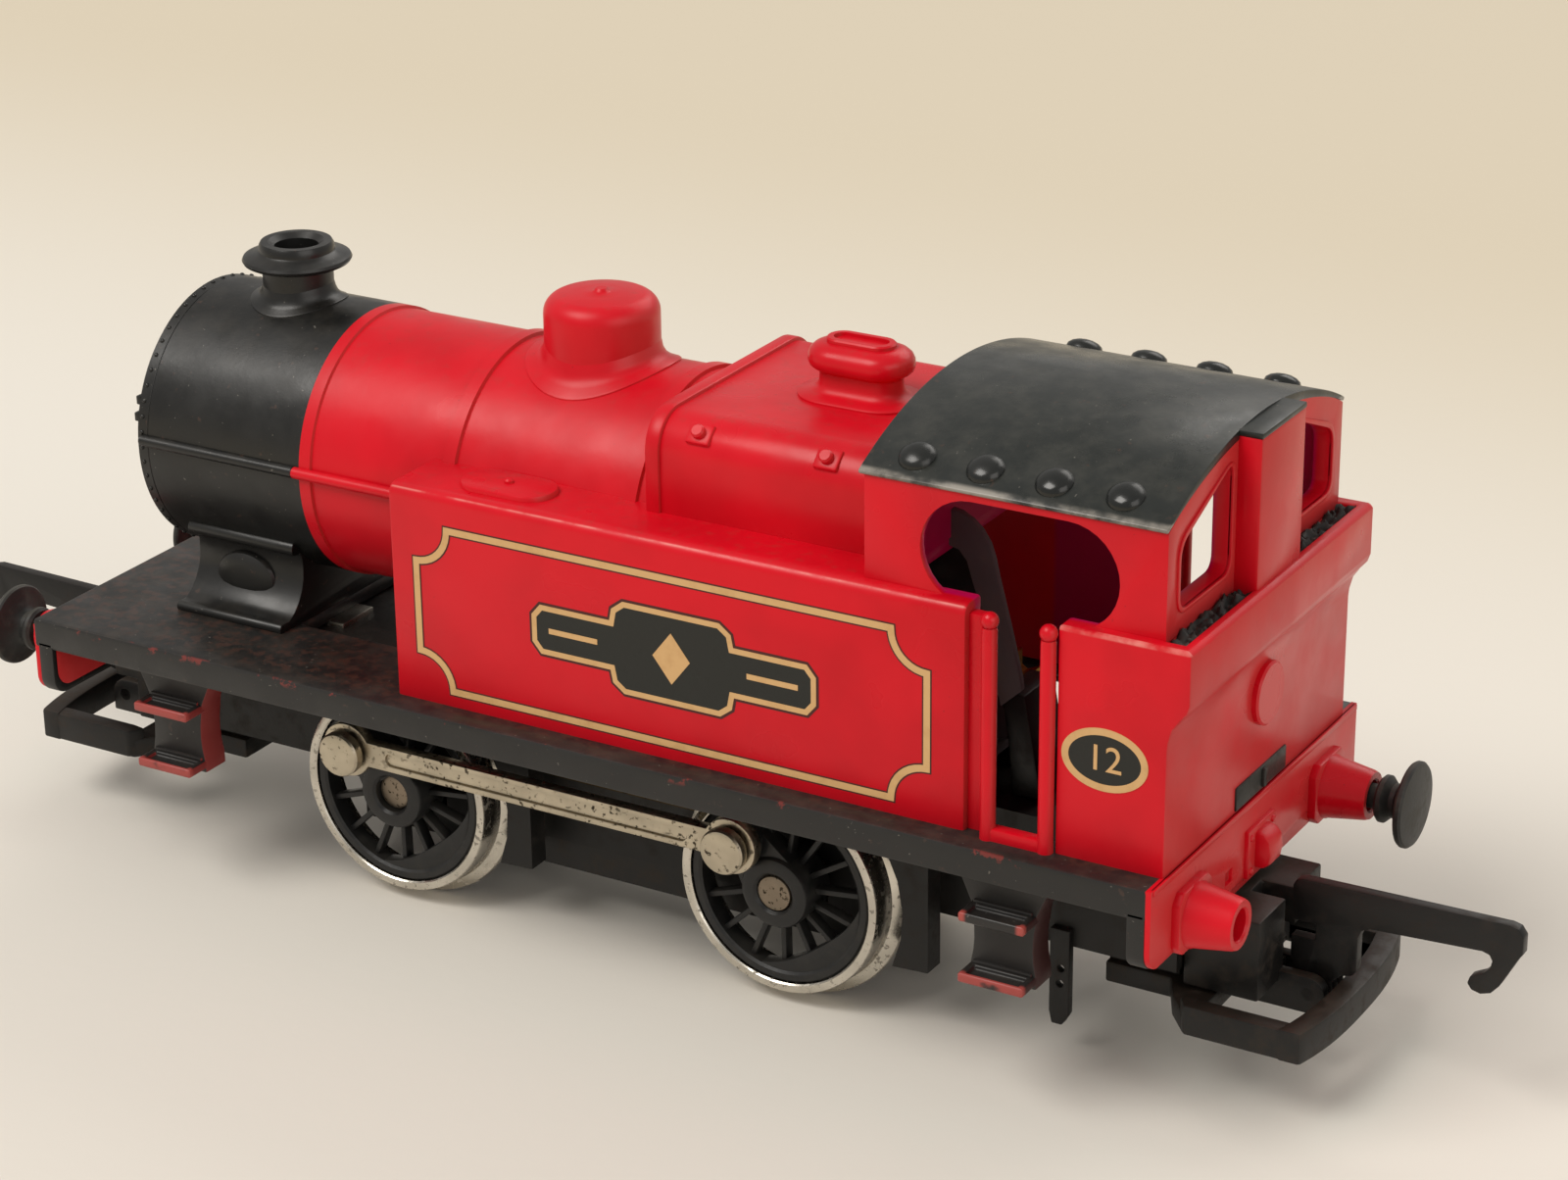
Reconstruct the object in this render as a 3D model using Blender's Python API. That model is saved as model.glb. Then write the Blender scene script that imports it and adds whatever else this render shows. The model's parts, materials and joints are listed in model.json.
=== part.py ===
import math

import bmesh
import bpy
from mathutils import Matrix, Vector

for old in list(bpy.data.objects):
    bpy.data.objects.remove(old, do_unlink=True)

MM = 0.001

# Driving sizes in millimetres: X runs along the engine, rear positive, and Z is up

BEAM_X = 46.4
HALF_WIDTH = 17.0
PLATE_TOP = 19.9
PLATE_EDGE = 2.3
PLATE_THICK = 1.2
BEAM_THICK = 1.7
BEAM_BOTTOM = 13.8
BEAM_ROUND = 1.4

TANK_FRONT = -14.2
TANK_REAR = 31.7
TANK_TOP = 36.1
TANK_HALF = 14.85
TANK_ROUND = 0.8
WALL = 1.8

DOOR_LENGTH = 6.7
BUNKER_REAR = 46.25
BUNKER_FLARE = 1.5
FLARE_TALL = 5.0
SILL = 1.0
PILLAR_R = 0.6
PILLAR_DROP = 1.9

CAB_FRONT = 23.3
CAB_REAR = 45.5
CAB_HALF = 14.1
CAB_WALL = 1.3
CAB_INSET = 0.2
EAVES_Z = 43.7
ROOF_TOP = 47.2
ROOF_THICK = 1.3
ROOF_EDGE = 0.7
ROOF_OVERHANG = 0.25
OVAL_X = 35.25
OVAL_LENGTH = 13.9
OVAL_TOP = 42.9
WINDOW_IN = 5.2
WINDOW_OUT = 12.0
WINDOW_TALL = 4.3
WINDOW_SLOPE = 1.0
WINDOW_ROUND = 0.9
COLUMN_WIDTH = 7.1
COLUMN_DEPTH = 1.9

BOILER_Z = 32.54
BOILER_R = 10.0
BOILER_WALL = 1.4
BOILER_ROOM = 8.5
BAND_RISE = 0.35
BAND_WIDTH = 1.0
BAND_IN = 1.2
BAND_OUT = 2.1
RAIL_R = 0.45
RAIL_RISE = 0.6
SMOKEBOX_R = 10.2
SMOKEBOX_FRONT = -40.8
SMOKEBOX_REAR = -25.5
DOOR_R = 7.6
DOOR_DOME = 1.3
FIREBOX_FRONT = 4.6
FIREBOX_TOP = 43.0
FIREBOX_HALF = 10.4
FIREBOX_ROUND = 2.6

CHIMNEY_X = -32.5
CHIMNEY_TOP = 47.0
CHIMNEY_R = 2.65
CHIMNEY_CAP_R = 4.1
CHIMNEY_BORE_R = 1.6
CHIMNEY_BORE = 3.5
CHIMNEY_SKIRT = 2.2
CAP_TALL = 2.2
CAP_SLOPE = 1.1
SKIRT_SINK = 2.2
DOME_X = -5.5
DOME_R = 4.2
DOME_TOP = 47.6
DOME_SKIRT = 1.0
DOME_ROUND = 2.8
PIP_R = 0.7
PIP_TALL = 0.3
VALVE_X = 15.7
VALVE_TOP = 47.2
VALVE_LENGTH = 8.0
VALVE_WIDTH = 4.6
VALVE_BASE = 0.6
VALVE_WAIST = 0.5
LID_X = -6.0
LID_IN = 3.2
LID_R = 2.0
LID_STRAIGHT = 1.7
LID_TALL = 0.8

SADDLE_X = -33.0
SADDLE_LENGTH = 9.8
SADDLE_HALF = 9.0
SADDLE_WAIST = 6.6
SADDLE_DROP = 5.2

STEP_REAR_X = 35.1
STEP_FRONT_X = -35.1
STEP_LENGTH = 5.8
STEP_UPPER_Z = 16.0
STEP_LOWER_Z = 9.4
STEP_INNER = 14.3
STEP_PLATE = 1.1
STEP_TREAD = 1.0
STEP_WAIST = 0.7
STEP_LIP = 0.2

BUFFER_INSET = 5.85
BUFFER_Z = 15.9
BUFFER_HOUSING = 3.8
BUFFER_BASE_R = 2.5
BUFFER_BORE_R = 1.3
BUFFER_HEAD_R = 3.1
HEAD_DEEP = 1.9
HEAD_ROUND = 0.3
BUFFER_REACH = 7.6
COLLAR = 1.0
BASE_GROW = 0.5
BASE_LIFT = 0.3
BASE_THICK = 0.65
DRAWHOOK_HALF = 2.2
DRAWHOOK_TALL = 3.8

REAR_AXLE_X = 14.4
WHEELBASE = 33.0
AXLE_Z = 9.0
AXLE_R = 1.5
TREAD_R = 8.0
FLANGE_R = 9.0
TYRE_BORE_R = 7.05
TYRE_INNER = 7.0
TYRE_WIDTH = 3.0
FLANGE_WIDTH = 1.0
SPOKES = 15
SPOKE_WIDTH = 0.6
HUB_R = 2.5
RIM = 1.0
WEIGHT = 1.4
CENTRE_THICK = 1.2
CENTRE_INSET = 0.5

CRANK_X = -2.75
CRANK_Z = 3.65
ROD_INNER = 11.0
ROD_THICK = 1.0
ROD_DEPTH = 2.0
ROD_EYE_R = 2.1
FLUTE_WIDTH = 1.04
FLUTE_DEEP = 0.25
FLUTE_END = 3.2
PIN_R = 1.05
PIN_HEAD_R = 1.65
PIN_HEAD = 1.05
PIN_FOOT_R = 0.75
PIN_FOOT = 1.6
BOSS_R = 1.55
HUB_PROUD = 0.2
AXLE_PROUD = 0.6

CHASSIS_HALF = 6.0
CHASSIS_REACH = 43.4
CHASSIS_END_BOTTOM = 8.2
HORN_LENGTH = 4.5
DECK_HALF = 8.5
BRAKE_GAP = 0.7
BRAKE_TALL = 7.6
BRAKE_THICK = 1.0
KEEPER_TOP = 6.1
KEEPER_THICK = 2.2
KEEPER_REACH = 6.0
KEEPER_INSET = 0.3
KEEPER_FRONT_SCREW = 9.5
KEEPER_REAR_SCREW = 12.0
SCREW_R = 1.0
SCREW_HEAD_R = 1.9
SCREW_HEAD = 1.1
SCREW_GRIP = 4.5
SCREW_SLOT = 0.44
BODY_SCREW_SINK = 2.0
BODY_SCREW_BITE = 2.0
COUPLING_SCREW_IN = 3.2

BALLAST_GAP = 0.6
BALLAST_LENGTH = 16.15
BALLAST_HALF = 8.0
BALLAST_TALL = 11.85
PICKUP_THICK = 0.3
PICKUP_END = 2.4
PICKUP_RISE = 2.6
PICKUP_TALL = 2.0

AXLE_TEETH = 20
IDLER_TEETH = 16
PINION_TEETH = 8
TRAIN_BEND = 1.0686
BACKLASH = 0.12
GEAR_INNER = 2.8
GEAR_WIDTH = 1.8

MOTOR_X = 25.35
MOTOR_DECK = 17.4
DECK_GAP = 1.0
BEARING_R = 2.0
ARMATURE_R = 3.4
YOKE_TOP = 37.9
YOKE_TOP_R = 2.55
YOKE_NEAR = -4.2
YOKE_FAR = 0.4
YOKE_BAND = 2.75
YOKE_SLOT_R = 0.8
YOKE_SPLAY = 0.235
SHAFT_R = 0.7
SHAFT_END = 0.3
IDLER_PIN_R = 0.8
IDLER_PIN_IN = 1.0
COMMUTATOR_R = 1.8
COMMUTATOR_WIDTH = 1.4
CORE_SLOT_R = 0.9
BRACKET_THICK = 1.15
BRACKET_R = 3.1

HOOK_PIVOT_OUT = 4.8
HOOK_PIVOT_Z = 6.6
HOOK_TOP = 14.5
HOOK_REACH = 14.5
HOOK_ARM = 2.3
HOOK_DROP = 5.2
HOOK_THICK = 0.9
HOOK_WIDE = 1.35
HOOK_PIN_R = 0.5
HOOK_ROOM = 0.3
HOOK_LEAN = 2.4
HOOK_POINT = 1.0
LUG_HALF = 1.7
LOOP_HALF = 8.8
LOOP_BAR_Z = 4.6
LOOP_BAR_TALL = 2.8
LOOP_BAR_THICK = 1.7
LOOP_RAIL = 1.5
LOOP_LIFT = 0.5
LOOP_SWEEP = 0.9
LOOP_PLATE = 1.6
LOOP_NECK = 4.2
PAD_HALF = 3.6
PAD_REACH = 3.0
HEAD_SINK = 0.8

# Clearances: a push fit, a seat, a screw hole, a turning fit and the free room round moving pieces

FIT = 0.06
SEAT = 0.15
HOLE = 0.2
TURN = 0.28
FREE = 0.4

# How far one moulded form runs into the next so that they join

SINK = 0.6

# Derived places

PLATE_BOTTOM = PLATE_TOP - PLATE_EDGE
PLATE_UNDER = PLATE_TOP - PLATE_THICK
DOOR_REAR = TANK_REAR + DOOR_LENGTH
FLARE_Z = TANK_TOP - FLARE_TALL
FRONT_AXLE_X = REAR_AXLE_X - WHEELBASE
THROW = math.hypot(CRANK_X, CRANK_Z)
LEFT_ANGLE = math.atan2(CRANK_Z, CRANK_X)
RIGHT_ANGLE = LEFT_ANGLE - math.pi / 2
WHEEL_FACE = TYRE_INNER + TYRE_WIDTH
CHASSIS_TOP = PLATE_UNDER - SEAT
HORN_BOTTOM = KEEPER_TOP + SEAT
GEAR_OUTER = GEAR_INNER + GEAR_WIDTH
BUFFER_Y = HALF_WIDTH - BUFFER_INSET
MOTOR_Z = MOTOR_DECK + DECK_GAP + ARMATURE_R
COUPLING_SCREW_X = CHASSIS_REACH - COUPLING_SCREW_IN
KEEPER_BOTTOM = KEEPER_TOP - KEEPER_THICK
KEEPER_SEAT = KEEPER_BOTTOM + SCREW_HEAD + SEAT + FIT

# Gear train: the gears are as large as the distance from the axle to the motor asks for

TRAIN = Vector((MOTOR_X - REAR_AXLE_X, MOTOR_Z - AXLE_Z))
SPAN = TRAIN.length
MODULE = TRAIN_BEND * SPAN / (AXLE_TEETH / 2 + IDLER_TEETH + PINION_TEETH / 2)
IDLER_REACH = MODULE * (AXLE_TEETH + IDLER_TEETH) / 2 + BACKLASH
PINION_REACH = MODULE * (IDLER_TEETH + PINION_TEETH) / 2 + BACKLASH
ALONG = (SPAN * SPAN + IDLER_REACH ** 2 - PINION_REACH ** 2) / (2 * SPAN)
OFF = math.sqrt(IDLER_REACH ** 2 - ALONG ** 2)
UNIT = TRAIN / SPAN
IDLER_X = REAR_AXLE_X + UNIT.x * ALONG + UNIT.y * OFF
IDLER_Z = AXLE_Z + UNIT.y * ALONG - UNIT.x * OFF
ADDENDUM = MODULE * 0.667
DEDENDUM = MODULE * 1.2
TOOTH_ROOT = MODULE * 0.667
TOOTH_TIP = MODULE * 0.267
AXLE_GEAR_ROOM = MODULE * AXLE_TEETH / 2 + ADDENDUM + 2 * FREE


def to_object(name, bm):
    """Turn an edited mesh into a linked object with outward faces."""
    bmesh.ops.recalc_face_normals(bm, faces=bm.faces)
    if bm.calc_volume(signed=True) < 0:
        bmesh.ops.reverse_faces(bm, faces=bm.faces)
    mesh = bpy.data.meshes.new(name)
    bm.to_mesh(mesh)
    bm.free()
    made = bpy.data.objects.new(name, mesh)
    bpy.context.scene.collection.objects.link(made)
    return made


def settle(made):
    """Keep the result of the modifiers as the object's own mesh."""
    graph = bpy.context.evaluated_depsgraph_get()
    mesh = bpy.data.meshes.new_from_object(made.evaluated_get(graph))
    made.modifiers.clear()
    made.data = mesh


def place(axis, a, b, along):
    """Put a flat point and a distance along an axis into space."""
    if axis == "x":
        return Vector((along, a, b)) * MM
    if axis == "y":
        return Vector((a, along, b)) * MM
    return Vector((a, b, along)) * MM


def prism(name, outline, axis, low, high, edge=0.0):
    """Extrude a flat outline along an axis, with an optional small bevel."""
    bm = bmesh.new()
    face = bm.faces.new([bm.verts.new(place(axis, a, b, low)) for a, b in outline])
    grown = bmesh.ops.extrude_face_region(bm, geom=[face])
    moved = [item for item in grown["geom"] if isinstance(item, bmesh.types.BMVert)]
    bmesh.ops.translate(bm, verts=moved, vec=place(axis, 0, 0, high - low))
    made = to_object(name, bm)
    if edge:
        bevel = made.modifiers.new("soft edge", "BEVEL")
        bevel.width = edge * MM
        bevel.segments = 1
        bevel.limit_method = "ANGLE"
        bevel.angle_limit = math.radians(40)
        settle(made)
    return made


def block(name, x, y, z, edge=0.0):
    """A box between two limits on each axis."""
    outline = [(y[0], z[0]), (y[1], z[0]), (y[1], z[1]), (y[0], z[1])]
    return prism(name, outline, "x", x[0], x[1], edge)


def turned(name, profile, axis, centre, steps, ring=False):
    """Spin a radius and length profile round an axis through a centre."""
    bm = bmesh.new()
    points = [bm.verts.new((radius * MM, 0, along * MM)) for radius, along in profile]
    pairs = list(zip(points, points[1:]))
    if ring:
        pairs.append((points[-1], points[0]))
    edges = [bm.edges.new(pair) for pair in pairs]
    bmesh.ops.spin(bm, geom=points + edges, cent=(0, 0, 0), axis=(0, 0, 1),
                   angle=2 * math.pi, steps=steps, use_merge=True)
    bmesh.ops.remove_doubles(bm, verts=bm.verts, dist=0.000001)
    if axis == "x":
        bm.transform(Matrix(((0, 0, 1), (1, 0, 0), (0, 1, 0))).to_4x4())
    if axis == "y":
        bm.transform(Matrix(((0, 1, 0), (0, 0, 1), (1, 0, 0))).to_4x4())
    bm.transform(Matrix.Translation(Vector(centre) * MM))
    return to_object(name, bm)


def rod(name, radius, axis, centre, low, high, steps=24):
    """A plain cylinder between two places along an axis."""
    return turned(name, [(0, low), (radius, low), (radius, high), (0, high)], axis, centre, steps)


def combine(base, others, operation):
    """Join pieces to a base or cut them from it."""
    for other in others:
        step = base.modifiers.new("shape", "BOOLEAN")
        step.operation = operation
        step.solver = "EXACT"
        step.object = other
    settle(base)
    for other in others:
        bpy.data.objects.remove(other, do_unlink=True)
    return base


def join(base, *others):
    return combine(base, others, "UNION")


def cut(base, *others):
    return combine(base, others, "DIFFERENCE")


def arc(cx, cz, radius, start, end, count):
    """Points on an arc, with angles in degrees."""
    turns = [math.radians(start + (end - start) * i / count) for i in range(count + 1)]
    return [(cx + radius * math.cos(t), cz + radius * math.sin(t)) for t in turns]


def mirrored(points):
    """The same outline on the other side of the centre line."""
    return [(-a, b) for a, b in reversed(points)]


def finish(made, name, colour, roughness, metallic, pivot=(0, 0, 0), smooth=30):
    """Name a piece, give it a finish and put its origin on its pivot."""
    made.name = name
    made.data.name = name
    bm = bmesh.new()
    bm.from_mesh(made.data)
    bmesh.ops.remove_doubles(bm, verts=bm.verts, dist=0.000002)
    bmesh.ops.dissolve_degenerate(bm, edges=bm.edges, dist=0.000002)
    bmesh.ops.dissolve_limit(bm, angle_limit=math.radians(0.05), verts=bm.verts, edges=bm.edges)
    bmesh.ops.translate(bm, verts=bm.verts, vec=-Vector(pivot) * MM)
    bm.to_mesh(made.data)
    bm.free()
    made.location = Vector(pivot) * MM
    made.data.shade_smooth()
    made.data.set_sharp_from_angle(angle=math.radians(smooth))
    paint = bpy.data.materials.new(name)
    paint.use_nodes = True
    shader = paint.node_tree.nodes["Principled BSDF"]
    shader.inputs["Base Color"].default_value = (*colour, 1.0)
    shader.inputs["Roughness"].default_value = roughness
    shader.inputs["Metallic"].default_value = metallic
    made.data.materials.clear()
    made.data.materials.append(paint)
    return made


RED = (0.50, 0.017, 0.022)
BLACK = (0.015, 0.015, 0.015)
NICKEL = (0.58, 0.53, 0.42)
STEEL = (0.45, 0.45, 0.44)
BRASS = (0.62, 0.42, 0.14)
LEAD = (0.20, 0.21, 0.22)
IRON = (0.13, 0.11, 0.09)


# Body moulding: footplate with buffer beams and steps


def footplate():
    made = block("footplate", (-BEAM_X, BEAM_X), (-HALF_WIDTH, HALF_WIDTH), (PLATE_BOTTOM, PLATE_TOP))
    parts = []
    for end in (-1, 1):
        top = PLATE_TOP - SINK
        lower = arc(-HALF_WIDTH + BEAM_ROUND, BEAM_BOTTOM + BEAM_ROUND, BEAM_ROUND, 180, 270, 4)
        outline = lower + mirrored(lower) + [(HALF_WIDTH, top), (-HALF_WIDTH, top)]
        low, high = sorted((end * BEAM_X, end * (BEAM_X - BEAM_THICK)))
        parts.append(prism("beam", outline, "x", low, high))
    for x in (STEP_REAR_X, STEP_FRONT_X):
        for side in (-1, 1):
            half = STEP_LENGTH / 2
            foot, knee = STEP_LOWER_Z - STEP_TREAD, STEP_LOWER_Z + SINK
            hip, top = STEP_UPPER_Z - STEP_TREAD - SINK, PLATE_TOP - SINK
            middle = (STEP_UPPER_Z + STEP_LOWER_Z) / 2
            edge = [(half, foot), (half, knee), (half - STEP_WAIST, middle), (half, hip), (half, top)]
            plate = [(x + a, z) for a, z in edge + mirrored(edge)]
            low, high = sorted((side * STEP_INNER, side * (STEP_INNER + STEP_PLATE)))
            parts.append(prism("step plate", plate, "y", low, high))
            for z in (STEP_UPPER_Z, STEP_LOWER_Z):
                low, high = sorted((side * (STEP_INNER + SINK), side * (HALF_WIDTH - STEP_LIP / 2)))
                reach = half + STEP_LIP
                parts.append(block("tread", (x - reach, x + reach), (low, high), (z - STEP_TREAD, z)))
    return made, parts


# Body moulding: tanks, bunker and cab


def rounded_top(half, low, top, corner):
    right = arc(half - corner, top - corner, corner, 0, 90, 3)
    return [(-half, low), (half, low)] + right + mirrored(right)


def roof_arc(half, eaves, top, count=12):
    rise = top - eaves
    radius = (half * half + rise * rise) / (2 * rise)
    spread = math.degrees(math.asin(half / radius))
    return arc(0, top - radius, radius, 90 - spread, 90 + spread, count)


def superstructure():
    deep = PLATE_TOP - SINK
    side = rounded_top(TANK_HALF, deep, TANK_TOP, TANK_ROUND)
    parts = [prism("tanks", side, "x", TANK_FRONT, TANK_REAR)]
    parts.append(prism("bunker", side, "x", DOOR_REAR, BUNKER_REAR))
    sill_x = (TANK_REAR - SINK, DOOR_REAR + SINK)
    parts.append(block("sill", sill_x, (-TANK_HALF, TANK_HALF), (deep, PLATE_TOP + SILL)))
    inside, lip = BUNKER_REAR - SINK, BUNKER_REAR + BUNKER_FLARE
    bend_x, bend_z = BUNKER_REAR + BUNKER_FLARE / 3, (FLARE_Z + TANK_TOP) / 2 + SINK
    flare = [(inside, FLARE_Z), (BUNKER_REAR, FLARE_Z), (bend_x, bend_z), (lip, TANK_TOP - SINK),
             (lip, TANK_TOP), (inside, TANK_TOP)]
    parts.append(prism("flare", flare, "y", -TANK_HALF + FIT, TANK_HALF - FIT))
    wall = CAB_HALF - CAB_INSET
    foot = TANK_TOP - SINK
    cab = [(-wall, foot), (wall, foot), (wall, EAVES_Z), (0, ROOF_TOP - SINK), (-wall, EAVES_Z)]
    parts.append(prism("cab", cab, "x", CAB_FRONT + CAB_INSET, CAB_REAR))
    roof = roof_arc(CAB_HALF, EAVES_Z, ROOF_TOP)
    roof = roof + [(-CAB_HALF, EAVES_Z - ROOF_EDGE), (CAB_HALF, EAVES_Z - ROOF_EDGE)]
    parts.append(prism("roof", roof, "x", CAB_FRONT, CAB_REAR + ROOF_OVERHANG))
    half = COLUMN_WIDTH / 2
    column_x = (CAB_REAR - SINK, CAB_REAR + COLUMN_DEPTH)
    parts.append(block("column", column_x, (-half, half), (TANK_TOP - SINK, ROOF_TOP - ROOF_OVERHANG)))
    for x in (TANK_REAR - PILLAR_R, DOOR_REAR + PILLAR_R):
        for y in (-TANK_HALF, TANK_HALF):
            neck = TANK_TOP - PILLAR_DROP
            knob = PILLAR_R * 1.5
            profile = [(0, deep), (PILLAR_R, deep), (PILLAR_R, neck - 2 * PILLAR_R), (knob, neck - PILLAR_R),
                       (knob, neck), (0, neck + PILLAR_R / 2)]
            parts.append(turned("pillar", profile, "z", (x, y, 0), 6))
    return parts


# Body moulding: boiler, smokebox, firebox and the mountings on top


def boiler():
    band = BOILER_R + BAND_RISE
    half = BAND_WIDTH / 2
    joint = SMOKEBOX_REAR
    front = SMOKEBOX_FRONT
    profile = [(0, front - DOOR_DOME), (DOOR_R * 0.6, front - DOOR_DOME * 0.85),
               (DOOR_R, front - DOOR_DOME / 3), (DOOR_R, front), (SMOKEBOX_R - BAND_RISE, front),
               (SMOKEBOX_R, front + BAND_RISE), (SMOKEBOX_R, joint - half), (band + FIT, joint - half),
               (band + FIT, joint + half), (BOILER_R, joint + half)]
    for x in (TANK_FRONT + BAND_IN, FIREBOX_FRONT - BAND_OUT):
        profile += [(BOILER_R, x - half), (band, x - half), (band, x + half), (BOILER_R, x + half)]
    profile += [(BOILER_R, FIREBOX_FRONT + SINK), (0, FIREBOX_FRONT + SINK)]
    parts = [turned("barrel", profile, "x", (0, 0, BOILER_Z), 30)]
    box = rounded_top(FIREBOX_HALF, TANK_TOP - SINK, FIREBOX_TOP, FIREBOX_ROUND)
    parts.append(prism("firebox", box, "x", FIREBOX_FRONT + SINK / 2, CAB_FRONT + SINK))
    rim = rounded_top(FIREBOX_HALF + BAND_RISE, TANK_TOP - SINK - FIT, FIREBOX_TOP + BAND_RISE,
                      FIREBOX_ROUND + FIT)
    parts.append(prism("firebox rim", rim, "x", FIREBOX_FRONT, FIREBOX_FRONT + BAND_WIDTH))
    for y in (-1, 1):
        rail = (0, y * (SMOKEBOX_R + FIT), BOILER_Z + RAIL_RISE)
        parts.append(rod("handrail", RAIL_R, "x", rail, front + SINK, TANK_FRONT + SINK, 6))
    return parts


def mountings():
    crown = BOILER_Z + SMOKEBOX_R
    deep = crown - SKIRT_SINK
    cap = CHIMNEY_CAP_R
    top = CHIMNEY_TOP
    skirt = CHIMNEY_R + CHIMNEY_SKIRT
    chimney = [(0, deep), (skirt, deep), (skirt, crown - 0.9), (skirt - 0.8, crown - 0.3),
               (CHIMNEY_R + 0.5, crown + 0.4), (CHIMNEY_R, crown + 1.3), (CHIMNEY_R, top - CAP_TALL),
               (cap, top - CAP_TALL * 0.8), (cap, top - CAP_TALL * 0.45), (cap - CAP_SLOPE, top), (0, top)]
    skirt = DOME_R + DOME_SKIRT
    shoulder = DOME_TOP - DOME_ROUND
    dome = [(0, deep), (skirt, deep), (skirt, crown - 1.5), (DOME_R, crown - 0.5), (DOME_R, shoulder)]
    height = DOME_ROUND - PIP_TALL
    dome += [(DOME_R * math.cos(t), shoulder + height * math.sin(t)) for t in (0.45, 0.9, 1.3)]
    dome += [(PIP_R, DOME_TOP - PIP_TALL), (PIP_R, DOME_TOP), (0, DOME_TOP)]
    parts = [turned("chimney", chimney, "z", (CHIMNEY_X, 0, 0), 18)]
    parts.append(turned("dome", dome, "z", (DOME_X, 0, 0), 16))
    levels = [(FIREBOX_TOP - SINK, VALVE_BASE), (FIREBOX_TOP + 0.4, VALVE_BASE), (FIREBOX_TOP + 0.7, 0.0),
              (VALVE_TOP - 2.0, -VALVE_WAIST), (VALVE_TOP - 1.5, 0.0), (VALVE_TOP - 0.4, 0.0),
              (VALVE_TOP, -0.4)]
    bm = bmesh.new()
    rings = []
    for z, grow in levels:
        radius = VALVE_WIDTH / 2 + grow
        reach = (VALVE_LENGTH - VALVE_WIDTH) / 2
        loop = arc(VALVE_X + reach, 0, radius, -90, 90, 5) + arc(VALVE_X - reach, 0, radius, 90, 270, 5)
        rings.append([bm.verts.new(place("z", a, b, z)) for a, b in loop])
    for lower, upper in zip(rings, rings[1:]):
        for i, vert in enumerate(lower):
            other = (i + 1) % len(lower)
            bm.faces.new((vert, lower[other], upper[other], upper[i]))
    bm.faces.new(rings[0])
    bm.faces.new(rings[-1])
    parts.append(to_object("valve", bm))
    for y in (-1, 1):
        lid_y = y * (TANK_HALF - LID_IN)
        lid = arc(LID_X + LID_STRAIGHT, lid_y, LID_R, -90, 90, 5)
        lid += arc(LID_X - LID_STRAIGHT, lid_y, LID_R, 90, 270, 5)
        parts.append(prism("filler lid", lid, "z", TANK_TOP - SINK, TANK_TOP + LID_TALL))
    return parts


def saddle():
    low, high = SADDLE_X - SADDLE_LENGTH / 2, SADDLE_X + SADDLE_LENGTH / 2
    foot, top = PLATE_TOP - SINK, BOILER_Z - SADDLE_DROP
    middle = (PLATE_TOP + top) / 2
    right = [(SADDLE_HALF, foot), (SADDLE_HALF, PLATE_TOP + 0.5), (SADDLE_HALF - 1.3, PLATE_TOP + 1.2),
             (SADDLE_WAIST + 0.3, middle - 0.9), (SADDLE_WAIST, middle), (SADDLE_WAIST + 0.4, middle + 1.0),
             (SADDLE_HALF - 1.1, top - 1.2), (SADDLE_HALF - 0.4, top)]
    return [prism("saddle", right + mirrored(right), "x", low, high)]


def buffers():
    parts = []
    for end in (-1, 1):
        for side in (-1, 1):
            y = side * BUFFER_Y
            inner = BEAM_X - SINK
            reach = BEAM_X + BUFFER_HOUSING
            neck, collar = BUFFER_BASE_R * 0.84, BUFFER_BASE_R * 0.92
            profile = [(0, inner), (BUFFER_BASE_R, inner), (BUFFER_BASE_R, BEAM_X + COLLAR),
                       (neck, reach - COLLAR), (collar, reach - COLLAR), (collar, reach), (0, reach)]
            profile = [(r, end * x) for r, x in profile]
            parts.append(turned("housing", profile, "x", (0, y, BUFFER_Z), 12))
            plate = BUFFER_BASE_R + BASE_GROW
            low, high = sorted((end * inner, end * (BEAM_X + BASE_THICK)))
            tall = (BEAM_BOTTOM + BASE_LIFT, BUFFER_Z + plate)
            parts.append(block("buffer base", (low, high), (y - plate, y + plate), tall))
        low, high = sorted((end * (BEAM_X - SINK), end * (BEAM_X + BASE_THICK)))
        tall = (BEAM_BOTTOM + SINK, BEAM_BOTTOM + SINK + DRAWHOOK_TALL)
        parts.append(block("drawhook plate", (low, high), (-DRAWHOOK_HALF, DRAWHOOK_HALF), tall))
    return parts


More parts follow.
